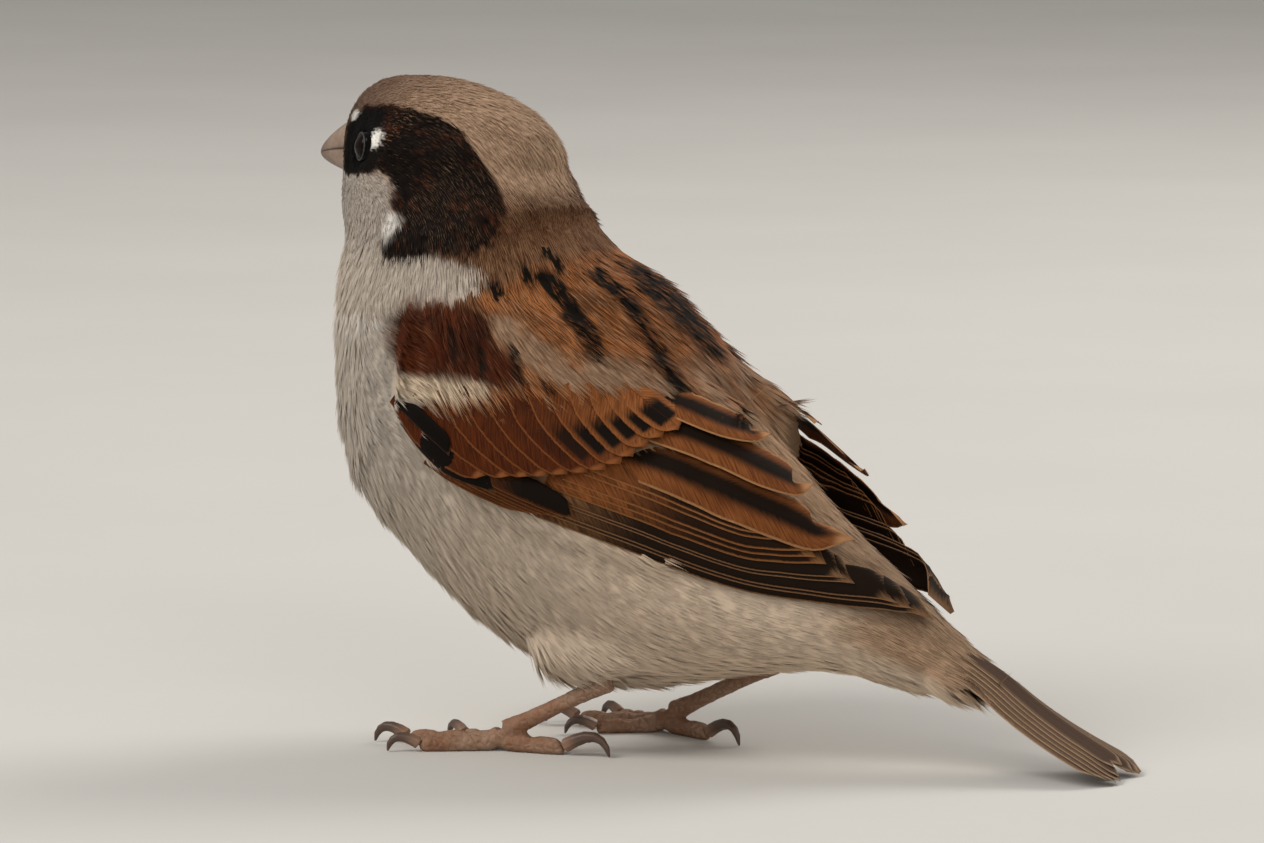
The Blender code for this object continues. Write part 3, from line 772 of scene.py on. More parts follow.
depth = np.where(owner == 3, skinShape["wing"], depth)
fromNape = np.hypot(hullX - napeShape["x"], hullZ - napeShape["z"])
napeHollow = np.exp(-(fromNape / napeShape["radius"]) ** 2)
depth += napeHollow * napeShape["depth"]
socket = fade(eyeGap, eyeSize["lid"] - 0.1, eyeSize["lid"] + 0.9)
depth += socket * skinShape["socket"]
skinPoints = hullPoints - hullNormals * depth[:, None] * mm
narrowing = ramp(hullX, tailFlesh["from"], tailFlesh["to"])  # the tail's flesh tapers up under its feathers
tailTop = np.interp(hullX, tailTops["x"], tailTops["z"]) * mm
skinPoints[:, 1] *= 1 - tailFlesh["thinner"] * narrowing
skinPoints[:, 2] += (tailTop - skinPoints[:, 2]) * tailFlesh["higher"] * narrowing
setPoints(skin.data, skinPoints)
relax(skin.data, 2)

# the lie of the coat: away from the bill on the head, then down the body and back to the tail
away = unit(hullPoints - billBase - np.array((0, 0, 1.5 * mm)))
downward = np.stack([go[:, 0], np.zeros(len(go)), go[:, 1]], 1)
share = ramp(above, -13, -2)[:, None]
behind = fade(ahead, -13, -2)[:, None]
lie = unit(downward + (away * 1.5 - downward * (1 - 0.6 * behind)) * share)
shoulder = fade(np.abs(hullX + 37), 2, 8) * ramp(np.abs(hullY), 12, 18)
shoulder *= ramp(hullZ, 38, 46) * fade(hullZ, 58, 64)
lie = unit(lie + shoulder[:, None] * np.array((1.6, 0, 0.2)))
lie = unit(lie - (lie * hullNormals).sum(1)[:, None] * hullNormals)
upperSide = fade(turned, 1.3, 1.7)
lift = np.radians(7.5 - 1.0 * headShare - 2.5 * ramp(down, 80, 92) - 1.5 * upperSide * ramp(down, 60, 70))
lay = lie * np.cos(lift)[:, None] + hullNormals * np.sin(lift)[:, None]
tuftLength = 4.4 - 0.7 * fade(down, 30, 50) - 1.2 * headShare - 1.1 * faceShare
tuftLength += 0.9 * upperSide * ramp(down, 24, 32) * fade(down, 78, 90)
tuftLength -= 0.75 * faceShare * fade(eyeGap, 3.0, 6.5)
tuftLength -= 0.5 * fade(billGap, 4.5, 8.0) + 1.5 * napeHollow
setFact(skin.data, "lay", lay)
setFact(skin.data, "up", hullNormals)
setFact(skin.data, "size", np.maximum(tuftLength, 0.7) * mm)
mark(skin.data, hullPoints)
setFact(skin.data, "root", hullPoints)
print("skin", len(skin.data.vertices), "points")


plumage = {  # 0-255 values
    "capRear": (180, 148, 120), "capFront": (116, 93, 78), "capBrown": (104, 76, 54),
    "nape": (130, 96, 68), "napeDark": (74, 40, 20), "chestnut": (60, 27, 11), "bandDark": (14, 6, 2),
    # cheek: its own pale grey, partly darkened as painted shade on the side of the face
    "black": (13, 9, 6), "cheek": (172, 160, 148), "white": (236, 230, 220),
    # breast: its own pale grey, partly darkened as painted shade from the neck above it
    "crescent": (190, 176, 160), "breast": (186, 174, 160), "belly": (206, 186, 164),
    "vent": (226, 202, 176), "rump": (186, 150, 118), "tailward": (166, 136, 108),
    "tip": (158, 122, 90), "bib": (60, 48, 40), "throat": (222, 214, 202),
    "streak": (128, 98, 72), "mantle": (172, 107, 60), "mantleBrown": (92, 58, 34),
    "lesser": (82, 34, 9), "lesserDark": (44, 16, 4), "bar": (210, 188, 160),
    "hoary": (154, 124, 98), "blackStreak": (18, 12, 6),
}


def plumageFinish(name, coat):  # the same markings on skin and coat
    material, wire = finish(name)
    p = {mark: tone(*values) for mark, values in plumage.items()}
    share = {}
    for fact, parts in markSets.items():
        split = wire.node("ShaderNodeSeparateXYZ", {}, {0: wire.fact(fact, 1)})
        for k, part in enumerate(parts):
            share[part] = split.twin(k)
    where = wire.fact("root", 1)
    patch = wire.noise(where, 260, 3)
    broad = wire.noise(where, 110, 2)
    fine = wire.noise(where, 1500, 2)
    own = wire.fact("own") if coat else fine
    tip = wire.fact("along") if coat else wire.maths("MULTIPLY", fine, 0.6)
    # each strand's own number
    lone = wire.maths("FRACT", own * 17.3 + wire.fact("strand") * 6.7) if coat else fine
    # the breast colour here carries painted shade
    under = share["belly"].mix(p["breast"], p["belly"])
    under = (share["vent"] * (patch * 0.25 + 0.75)).mix(under, p["vent"])
    hood = share["brow"].mix(p["capRear"], p["capFront"])
    hood = ((patch * 0.7 + lone * 0.3).step(0.5, 0.8) * 0.8).mix(hood, p["capBrown"])
    neck = (patch * 0.7 + lone * 0.4).step(0.42, 0.75).mix(p["nape"], p["napeDark"])
    hood = share["cap"].mix(neck, hood)
    top = share["rump"].mix(hood, p["rump"])
    top = share["tailward"].mix(top, p["tailward"])
    orange = (patch * 0.5 + broad * 0.3 + lone * 0.4).step(0.46, 0.71).mix(p["mantle"], p["mantleBrown"])
    top = share["mantle"].mix(top, orange)
    colour = share["back"].mix(under, top)
    collar = share["collar"] * (patch * 0.4 + lone * 0.8).step(0.40, 0.85) * 0.85
    colour = collar.mix(colour, p["napeDark"])
    colour = share["front"].mix(colour, p["throat"])
    crescent = (share["crescent"] * 1.6 - lone * 0.6).step(0.05, 0.5)
    colour = crescent.mix(colour, p["crescent"])
    colour = share["wing"].mix(colour, orange)
    lesser = (patch + lone * 0.3).step(0.5, 0.85).mix(p["lesser"], p["lesserDark"])
    colour = share["lesser"].mix(colour, lesser)
    hoary = (share["hoary"] * (patch + own * 0.4).step(0.3, 0.62)).least(0.95)
    colour = hoary.mix(colour, p["hoary"])
    colour = (share["bar"] * (1.1 - own.step(0.75, 0.9) * 0.5)).least(0.95).mix(colour, p["bar"])
    band = (patch * 0.6 + broad * 0.2 + own * 0.2 + share["brow"] * 0.22 - 0.08).step(0.48, 0.62)
    edge = (share["band"] * 1.5 - lone * 0.5).step(0.1, 0.6)
    colour = edge.mix(colour, band.mix(p["bandDark"], p["chestnut"]))
    # the cheek colour carries painted shade
    colour = share["cheek"].mix(colour, p["cheek"])
    colour = share["black"].mix(colour, p["black"])
    colour = (share["bib"] * own.step(0.25, 0.4)).mix(colour, p["bib"])
    colour = share["white"].mix(colour, p["white"])
    dark = share["black"].most(share["band"] * 0.8).most(share["streak"])
    # single strands: some darker, some pale at the tips
    streak = (1 - lone.step(0.05, 0.09)) * (1 - share["white"]) * (1 - dark)
    streak = streak * (share["back"] * 0.4 + share["vent"] * 0.15 + 0.2).least(1.0)
    colour = streak.mix(colour, share["back"].mix(p["streak"], p["capBrown"]))
    strands = lone.step(0.74, 0.80) * broad.step(0.46, 0.56) + lone.step(0.955, 0.975) * 0.8
    strands = strands * (share["brow"] * 0.8 + 0.4).least(1.0)
    paleTip = tip.step(0.35, 0.75) * strands * share["band"] * (1 - share["black"])
    colour = (paleTip * 0.72).mix(colour, p["tip"])
    crisp = lone.step(0.76, 0.86) * share["back"] * (1 - share["band"]) * (1 - share["streak"]) * 0.55
    colour = crisp.mix(colour, p["napeDark"])
    frost = (1 - lone.step(0.10, 0.16)) * share["mantle"] * (1 - share["streak"]) * tip.step(0.2, 0.7) * 0.7
    colour = frost.mix(colour, p["hoary"])
    colour = (share["streak"] * (1 - tip.step(0.6, 1.0) * own.step(0.6, 0.7))).mix(colour, p["blackStreak"])
    # painted shade: the skin, which lies under the coat, is made darker than the strands, as if shaded by
    # them; on the coat the number varies at random by tuft and strand and rises towards the tips
    shade = fine * 0.1 + 0.84
    if coat:
        shade = own * 0.06 + lone * (0.06 + share["back"] * 0.12) + tip * 0.06 + 0.88
    wire.surface(Base_Color=colour.shaded(shade), Roughness=(0.78 - tip * 0.1) if coat else 0.85,
                 Specular_IOR_Level=0.1)
    if not coat:
        wire.surface(Normal=wire.bump(fine, 0.5, 0.0004))
    return material


settle(skin, *bodyParts, slot="plumage_trunk", material=plumageFinish("plumageSkin", False))


# slender closed strands from a root, in shares of their own length
def tuftMesh(label, strands, spread, fan, width, seed, rise=0.05, bent=True):
    dice = np.random.default_rng(seed)
    points, faces, alongs, numbers, patches = [], [], [], [], []
    for strand in range(strands):
        share = (strand + 0.5) / strands * 2 - 1 if strands > 1 else 0
        root = np.array((dice.uniform(-0.04, 0.04), share * spread, 0))
        ahead = dice.uniform(0.62, 1.0)
        aside = share * fan + dice.uniform(-0.12, 0.12)
        tip = np.array((ahead, aside, dice.uniform(-0.06, 0.1)))
        start = len(points)
        for ring, size in ((0, 1.0), (0.5, 0.85)) if bent else ((0, 1.0),):
            middle = root + (tip - root) * ring + np.array((0, 0, rise * math.sin(ring * 3.1)))
            for corner in range(3):
                angle = math.radians(90 + 120 * corner)
                offset = np.array((0, math.cos(angle) * width * size, math.sin(angle) * width * 0.6 * size))
                points.append(middle + offset)
                alongs.append(ring)
        points.append(tip)
        alongs.append(1)
        numbers += [strand / strands] * (len(points) - start)
        for corner in range(3):
            a, b = start + corner, start + (corner + 1) % 3
            across0, across1 = (strand + corner / 3) / strands, (strand + (corner + 1) / 3) / strands
            begin = 0.1
            if bent:
                faces.append((a, b, b + 3, a + 3))
                patches.append([(0.1, across0), (0.1, across1), (0.5, across1), (0.5, across0)])
                a, b, begin = a + 3, b + 3, 0.5
            faces.append((a, b, start + (6 if bent else 3)))
            patches.append([(begin, across0), (begin, across1), (1, (across0 + across1) / 2)])
        faces.append((start, start + 2, start + 1))
        patches.append([(0.08, strand / strands), (0, (strand + 0.5) / strands),
                        (0.08, (strand + 1) / strands)])
    tuft = newPiece(label, points, faces)
    setFact(tuft.data, "along", np.array(alongs, float))
    setFact(tuft.data, "strand", np.array(numbers, float))
    layer = tuft.data.uv_layers.new(name="patch")
    layer.data.foreach_set("uv", np.array([uv for patch in patches for uv in patch], np.float32).ravel())
    return tuft


def coatTree(name, tufts, scattered):  # grows tufts over a skin, or one on each point
    tree = bpy.data.node_groups.new(name, "GeometryNodeTree")
    sockets = {"Geometry": "Geometry", "Spacing": "Float", "Crowding": "Float", "Breadth": "Float",
               "Untidiness": "Float", "Length Change": "Float", "Seed": "Int", "Material": "Material"}
    for label, kind in sockets.items():
        tree.interface.new_socket(label, in_out="INPUT", socket_type="NodeSocket" + kind)
    tree.interface.new_socket("Geometry", in_out="OUTPUT", socket_type="NodeSocketGeometry")
    wire = Wire(tree)
    group = wire.node("NodeGroupInput", {}, {})
    given = {label: group.twin(label) for label in sockets}

    def named(label, kind):
        return wire.node("GeometryNodeInputNamedAttribute", {"data_type": kind}, {"Name": label})

    def chance(kind, low, high, offset):
        first, output = {"FLOAT_VECTOR": (0, 0), "FLOAT": (2, 1), "INT": (4, 2)}[kind]
        seed = wire.node("FunctionNodeIntegerMath", {}, {0: given["Seed"], 1: offset})
        return wire.node("FunctionNodeRandomValue", {"data_type": kind},
                         {first: low, first + 1: high, "Seed": seed}, output)

    facts = [("own", "FLOAT", chance("FLOAT", 0.0, 1.0, 5))]
    if scattered:
        limits = {"Mesh": given["Geometry"], "Distance Min": given["Spacing"], "Seed": given["Seed"],
                  "Density Max": given["Crowding"], "Density Factor": named("cover", "FLOAT")}
        points = wire.node("GeometryNodeDistributePointsOnFaces", {"distribute_method": "POISSON"}, limits)
        normal = points.twin("Normal")
        facts.append(("root", "FLOAT_VECTOR", wire.node("GeometryNodeInputPosition", {}, {})))
    else:
        points = wire.node("GeometryNodeMeshToPoints", {}, {"Mesh": given["Geometry"]})
        normal = named("up", "FLOAT_VECTOR")
    for label, kind, value in facts:
        points = wire.node("GeometryNodeStoreNamedAttribute", {"data_type": kind},
                           {"Geometry": points, "Name": label, "Value": value})
    stray = wire.node("ShaderNodeVectorMath", {"operation": "SCALE"},
                      {0: chance("FLOAT_VECTOR", (-1, -1, -1), (1, 1, 1), 1), "Scale": given["Untidiness"]})
    lay = wire.node("ShaderNodeVectorMath", {}, {0: named("lay", "FLOAT_VECTOR"), 1: stray})
    turn = wire.node("FunctionNodeAxesToRotation", {"primary_axis": "X", "secondary_axis": "Z"},
                     {0: lay, 1: normal})
    change = given["Length Change"]
    size = named("size", "FLOAT") * chance("FLOAT", 1 - change, 1 + change, 2)
    choice = wire.node("GeometryNodeJoinGeometry", {}, {})
    for tuft in reversed(tufts):
        info = wire.node("GeometryNodeObjectInfo", {}, {"Object": tuft, "As Instance": True}, "Geometry")
        tree.links.new(info.socket, choice.socket.node.inputs[0])
    plant = wire.node("GeometryNodeInstanceOnPoints", {}, {
        "Points": points, "Instance": choice, "Pick Instance": True,
        "Instance Index": chance("INT", 0, len(tufts) - 1, 3), "Rotation": turn,
        "Scale": wire.pair(size, given["Breadth"], given["Breadth"])})
    real = wire.node("GeometryNodeRealizeInstances", {}, {0: plant})
    painted = wire.node("GeometryNodeSetMaterial", {}, {"Geometry": real, "Material": given["Material"]})
    tree.links.new(painted.socket, tree.nodes.new("NodeGroupOutput").inputs[0])
    return tree


def grow(name, carrier, tree, values):  # runs a coat tree and keeps its mesh
    holder = placed(name, carrier.data.copy())
    modifier = holder.modifiers.new("coat", "NODES")
    modifier.node_group = tree
    for socket in tree.interface.items_tree:
        if socket.in_out == "INPUT" and socket.name in values:
            modifier[socket.identifier] = values[socket.name]
    freeze(holder)
    holder.data.name = name
    return holder


tuftKinds = {  # name: how many kinds, first seed, and strands, spread, fan, strand width
    "long": (4, 11, {"strands": 5, "spread": 0.32, "fan": 0.50, "width": 0.15}),
    "body": (4, 21, {"strands": 9, "spread": 0.40, "fan": 0.74, "width": 0.17, "bent": False}),
    "face": (3, 31, {"strands": 6, "spread": 0.34, "fan": 0.56, "width": 0.16, "bent": False}),
}
coatTrees = {}
for kind, (count, seed, shape) in tuftKinds.items():
    tufts = [tuftMesh(f"{kind}Tuft{k}", seed=seed + k, **shape) for k in range(count)]
    coatTrees[kind] = coatTree(kind + "Coat", tufts, True)
plumageCoat = plumageFinish("plumageCoat", True)

coats = {  # name: tufts, slot, spacing mm, tuft breadth mm, untidiness, length change
    "faceCoat": ("face", "plumage_head", 0.27, 0.36, 0.07, 0.2),
    "crownCoat": ("face", "plumage_head", 0.32, 0.42, 0.08, 0.2),
    "napeCoat": ("body", "plumage_neck", 0.42, 0.52, 0.09, 0.25),
    "neckCoat": ("body", "plumage_neck", 0.44, 0.52, 0.08, 0.25),
    "breastCoat": ("body", "plumage_trunk", 0.48, 0.58, 0.07, 0.25),
    "bellyCoat": ("body", "plumage_trunk", 0.54, 0.62, 0.08, 0.3),
    "flankCoat": ("body", "plumage_trunk", 0.50, 0.62, 0.08, 0.3),
    "rumpCoat": ("body", "plumage_trunk", 0.48, 0.60, 0.08, 0.3),
    "mantleCoat": ("long", "plumage_trunk", 0.50, 0.64, 0.09, 0.25),
    "shoulderCoat": ("long", "wing_coverts", 0.46, 0.62, 0.09, 0.25),
}
bare = fade(eyeGap, eyeSize["lid"] + 0.05, eyeSize["lid"] + 0.35)
grown = (1 - bare) * (1 - covered)
tailStop = 36.5 + 4.2 * ramp(turned, 1.2, 1.9)  # the coat ends sooner above the tail than below it
grown *= 1 - ramp(hullX, tailStop, tailStop + 3.0)
onTheHead = owner == 0
faceZone = onTheHead & (ahead > 2.0)
upperTrunk = (owner == 2) & (turned <= 1.35)
shoulderLine = np.interp(across, *shoulderEdge.T) - 2.4 * ramp(across, 20, 28)
shoulderZone = (owner == 3) & (over > shoulderLine) & ((across < 38) | (underWing < 0.5))
rumpZone = (owner == 3) & (np.abs(hullY) < 8) & (across > 30) & (over > 1)
wingEdgeZone = (owner == 3) & (over < np.interp(across, *wingBelow.T) + 1.4) & (across > 3)
regions = {
    "faceCoat": faceZone,
    "crownCoat": onTheHead & ~faceZone & (above > -1.0),
    "napeCoat": onTheHead & ~faceZone & (above <= -1.0),
    "neckCoat": owner == 1,
    "breastCoat": (owner == 2) & ~upperTrunk & (down < 46),
    "bellyCoat": (owner == 2) & ~upperTrunk & (down >= 46) & (turned > 2.2),
    "flankCoat": ((owner == 2) & ~upperTrunk & (down >= 46) & (turned <= 2.2)) | wingEdgeZone,
    "rumpCoat": (upperTrunk & (down >= 62)) | (rumpZone & ~shoulderZone),
    "mantleCoat": upperTrunk & (down < 62),
    "shoulderCoat": shoulderZone,
}


def bakeMap(piece, spot, size=0.003):  # each tuft is a small patch at its root's place on the unwrap
    mesh = piece.data
    corners = np.zeros(len(mesh.loops), int)
    mesh.loops.foreach_get("vertex_index", corners)
    local = np.zeros(len(mesh.loops) * 2, np.float32)
    mesh.uv_layers["patch"].data.foreach_get("uv", local)
    places = np.clip(spot[corners] + (local.reshape(-1, 2) - 0.5) * size, 0.0005, 0.9995)
    mesh.uv_layers.remove(mesh.uv_layers["patch"])
    mesh.uv_layers.new(name="OFBake").data.foreach_set("uv", places.astype(np.float32).ravel())


def soften(piece, share):  # strands catch the light as the body under them does
    own = getPoints(piece.data, "normal")
    blend = unit(getFact(piece.data, "up", True) * share + own * (1 - share))
    piece.data.normals_split_custom_set_from_vertices(blend.tolist())


total = 0
for order, (name, (kind, slot, spacing, breadth, untidy, change)) in enumerate(coats.items()):
    setFact(skin.data, "cover", grown * regions[name])
    values = {"Spacing": spacing * mm, "Crowding": 2.2 / (spacing * mm) ** 2, "Breadth": breadth * mm,
              "Untidiness": untidy, "Length Change": change, "Seed": 3 + order, "Material": plumageCoat}
    piece = grow(name, skin, coatTrees[kind], values)
    roots = getFact(piece.data, "root", True).astype(float)
    shift = (getFact(piece.data, "own") * 1.6 - 0.9)[:, None] * getFact(piece.data, "lay", True) * mm
    mark(piece.data, roots * 0.25 + getPoints(piece.data) * 0.75 + shift * 0.6)
    spot = np.stack(alongSpine(roots)[::2], 1)
    low, high = spot.min(0), spot.max(0)
    bakeMap(piece, 0.01 + 0.975 * (spot - low) / (high - low))
    soften(piece, 0.92)
    settle(piece, slot=slot)
    total += triangles(piece)
    print(name, triangles(piece), "triangles")
skin.data.attributes.remove(skin.data.attributes["cover"])
print("coat", total, "triangles")


# faces between rings of points; ring 1 joins the last to the first
def belts(rings, spokes, start=0, ring=0):
    faces = []
    for near in range(rings - 1 + ring):
        far = (near + 1) % rings
        for spoke in range(spokes):
            after = (spoke + 1) % spokes
            faces.append(tuple(start + k for k in (near * spokes + spoke, near * spokes + after,
                                                   far * spokes + after, far * spokes + spoke)))
    return faces


def ball(name, middle, axis, radius, rings=24, spokes=40):
    axis = Vector(axis)
    sideways = axis.orthogonal().normalized()
    upwards = axis.cross(sideways)
    points = [middle + axis * radius]
    for ring in range(1, rings):
        angle = math.pi * ring / rings
        for spoke in range(spokes):
            turn = 2 * math.pi * spoke / spokes
            outward = sideways * math.cos(turn) + upwards * math.sin(turn)
            points.append(middle + axis * math.cos(angle) * radius + outward * math.sin(angle) * radius)
    points.append(middle - axis * radius)
    faces = [(0, 1 + k, 1 + (k + 1) % spokes) for k in range(spokes)]
    faces += belts(rings - 1, spokes, 1)
    last = len(points) - 1
    faces += [(last, last - spokes + (k + 1) % spokes, last - spokes + k) for k in range(spokes)]
    return newPiece(name, points, faces)


def straighten(piece):  # faces outwards
    made = bmesh.new()
    made.from_mesh(piece.data)
    bmesh.ops.recalc_face_normals(made, faces=made.faces)
    made.to_mesh(piece.data)
    made.free()


eyeFinish, wire = finish("darkEye")
iris = wire.fact("iris")
grain = wire.noise(wire.place(), 2400, 3)
colour = iris.step(0.30, 0.42).mix(tone(4, 3, 3), (grain * 0.9).mix(tone(17, 9, 5), tone(30, 17, 9)))
colour = iris.step(0.72, 0.86).mix(colour, tone(12, 9, 8))
wire.surface(Base_Color=colour, Roughness=0.10, Specular_IOR_Level=0.07)

lidFinish, wire = finish("eyelid")
beads = wire.noise(wire.place(), 3200, 2)
wire.surface(Base_Color=beads.mix(tone(20, 17, 15), tone(46, 42, 38)), Roughness=0.55,
             Normal=wire.bump(beads, 0.5, 0.0001))

lidShape = {"rings": 72, "spokes": 10, "thick": 0.14, "bead": 0.02, "beads": 18, "past": 0.12}
for side, sign in sides.items():
    axis = eyeAxes[side]
    middle = eyes[side] + axis * eyeSize["set"] * mm
    eye = ball(f"eyeball_{side}", middle, axis, eyeSize["ball"] * mm)
    points = getPoints(eye.data) - np.array(middle)
    aside = points - (points @ np.array(axis))[:, None] * np.array(axis)
    setFact(eye.data, "iris", np.linalg.norm(aside, axis=1) / (eyeSize["lid"] * mm))
    straighten(eye)
    settle(eye, f"eye_{side}", slot="eye_surface", material=eyeFinish)
    # the lid: a beaded ring that stands on the eyeball
    sideways = axis.orthogonal().normalized()
    upwards = axis.cross(sideways)
    reach = math.sqrt(eyeSize["ball"] ** 2 - eyeSize["lid"] ** 2)
    rings, spokes = lidShape["rings"], lidShape["spokes"]
    points = []
    for ring in range(rings):
        turn = 2 * math.pi * ring / rings
        bead = lidShape["thick"] + lidShape["bead"] * math.sin(turn * lidShape["beads"])
        outward = sideways * math.cos(turn) + upwards * math.sin(turn)
        for spoke in range(spokes):
            angle = 2 * math.pi * spoke / spokes
            aside = eyeSize["lid"] + lidShape["past"] + bead * math.cos(angle)
            ahead = reach + 0.02 + bead * 0.9 * math.sin(angle)
            points.append(middle + (outward * aside + axis * ahead) * mm)
    lid = newPiece(f"eyelid_{side}", points, belts(rings, spokes, ring=1))
    straighten(lid)
    settle(lid, slot="eye_surface", material=lidFinish)
print("eyes")

billShape = {"length": 14.4, "root": 13.6, "half": 4.5, "upper": 5.9, "lower": 5.6, "gape": 1.2, "drop": 1.4,
             "blunt": 0.62}
headAt = (eyes["left"] + eyes["right"]) / 2 - forward * 4.9 * mm - Vector((0, 0, 2.2 * mm))


def mandible(name, depth, way, rings=30, spokes=22):  # half of the bill, flat on the gape
    points, along, ridge = [], [], []
    for ring in range(rings):
        t = 1 - (1 - ring / rings) ** 2
        hollow = 1 - 0.10 * t * (1 - t) * (way < 0)
        taper = max((1 - t) ** billShape["blunt"], 0.04) * hollow
        level = billShape["gape"] - billShape["drop"] * t * t + way * 0.012
        for spoke in range(spokes):
            angle = math.pi * spoke / (spokes - 1)
            lift = way * depth * taper * math.sin(angle) ** 0.85 * (1 + 0.05 * math.sin(angle) ** 9)
            place = headAt + forward * (billShape["root"] + billShape["length"] * t) * mm
            place += rightward * billShape["half"] * taper * math.cos(angle) * mm
            points.append(place + Vector((0, 0, (level + lift) * mm)))
            along.append(t)
            ridge.append(math.sin(angle))
    faces = belts(rings, spokes)
    faces.append(tuple(range(spokes)))
    faces.append(tuple((rings - 1) * spokes + k for k in reversed(range(spokes))))
    piece = newPiece(name, points, faces)
    straighten(piece)
    setFact(piece.data, "along", np.array(along))
    setFact(piece.data, "ridge", np.array(ridge))
    settle(piece, name.replace("Horn", ""), slot="bill_horn", material=billFinish)


billFinish, wire = finish("billHorn")
along, ridge = wire.fact("along"), wire.fact("ridge")
grain = wire.noise(wire.place(), 900, 4, (1, 1, 2.5))
broad = wire.noise(wire.place(), 260, 3)
colour = broad.step(0.35, 0.7).mix(tone(150, 128, 110), tone(126, 104, 88))
colour = (ridge.step(0.6, 1.0) * 0.6).mix(colour, tone(98, 84, 74))
colour = (along.step(0.55, 1.0) * (grain * 0.5 + 0.6)).least(0.9).mix(colour, tone(84, 62, 48))
colour = ((1 - ridge.step(0.01, 0.05)) * 0.7).mix(colour, tone(74, 54, 44))
colour = (grain.step(0.5, 0.75) * 0.35).mix(colour, tone(104, 78, 62))
wire.surface(Base_Color=colour, Roughness=grain * 0.18 + 0.38, Normal=wire.bump(grain, 0.25, 0.00015),
             Specular_IOR_Level=0.35)
mandible("billHorn_upper", billShape["upper"], 1)
mandible("billHorn_lower", billShape["lower"], -1)

# legs and feet
legFinish, wire = finish("legScales")
place = wire.place()
cells = {"Vector": place, "Scale": 820, "Randomness": 0.8}
plates = wire.node("ShaderNodeTexVoronoi", {}, cells)
rims = wire.node("ShaderNodeTexVoronoi", {"feature": "DISTANCE_TO_EDGE"}, cells)
crust = wire.noise(place, 1900, 4)
blush = wire.noise(place, 150, 3)
colour = blush.step(0.35, 0.65).mix(tone(134, 96, 72), tone(150, 120, 98))
colour = (crust.step(0.45, 0.75) * 0.5).mix(colour, tone(108, 74, 52))
colour = ((1 - rims.step(0.0, 0.12)) * 0.5).mix(colour, tone(96, 66, 48))
colour = (plates.step(0.2, 0.9) * 0.25).mix(colour, tone(168, 142, 120))
wire.surface(Base_Color=colour, Roughness=crust * 0.2 + 0.6, Specular_IOR_Level=0.2,
             Normal=wire.bump(rims.step(0.0, 0.3) + crust * 0.5, 0.6, 0.0002))

clawFinish, wire = finish("clawHorn")
along, grain = wire.fact("along"), wire.noise(wire.place(), 700, 3, (1, 1, 3))
colour = along.step(0.05, 0.85).mix(tone(140, 106, 82), tone(74, 54, 42))
colour = (grain.step(0.4, 0.7) * 0.3).mix(colour, tone(96, 72, 56))
wire.surface(Base_Color=colour, Roughness=grain * 0.15 + 0.4, Normal=wire.bump(grain, 0.2, 0.0001))

legShape = {"grow": 0.06, "voxel": 0.34, "evening": 5, "crust": 0.07}
clawShape = {"grow": 0.05, "voxel": 0.16, "evening": 6, "length": 3.6}


def standing(label, names, shape, material, slot, toes=None):  # scaly skin, or claws that grow from toes
    piece = fuse(welded(label, names, shape["grow"] * mm), shape["voxel"] * mm)
    relax(piece.data, shape["evening"])
    points = getPoints(piece.data)
    if toes:
        reach = np.array([toes.find_nearest(Vector(point))[3] for point in points]) / mm
        setFact(piece.data, "along", np.clip(reach / shape["length"], 0, 1))
    else:
        rough = wobble(points, 1.4) * 0.6 + wobble(points, 3.1, 4) * 0.4
        points += getPoints(piece.data, "normal") * (rough * shape["crust"] * mm)[:, None]
    points[:, 2] = np.maximum(points[:, 2], 0.0)
    setPoints(piece.data, points)
    smoothed(piece.data)
    settle(piece, *names, slot=slot, material=material)
    return piece


for side in sides:
    leg = standing(f"leg_{side}", [f"tarsus_{side}", f"foot_{side}"], legShape, legFinish, "leg_scales")
    clawNodes = [f"claw_{toe}_{side}" for toe in ("hallux", "inner", "middle", "outer")]
    standing(f"claws_{side}", clawNodes, clawShape, clawFinish, "claw_horn", treeFrom(leg.data))
print("bill, legs and claws")


vaneShape = {  # what a tract doesn't say for itself; lengths in mm, the rest shares of the vane
    "rows": 30, "columns": 9, "tilt": 0.85, "lean": 1.0, "tipStart": 0.90, "rootWidth": 0.8, "point": 2.0,
    "ragged": 0.06, "camber": 0.18, "fringe": (0.12, 0.2), "tuck": 0.5, "barbs": 1.6, "barbEnd": 1.0,
}
vaneThick = 0.07


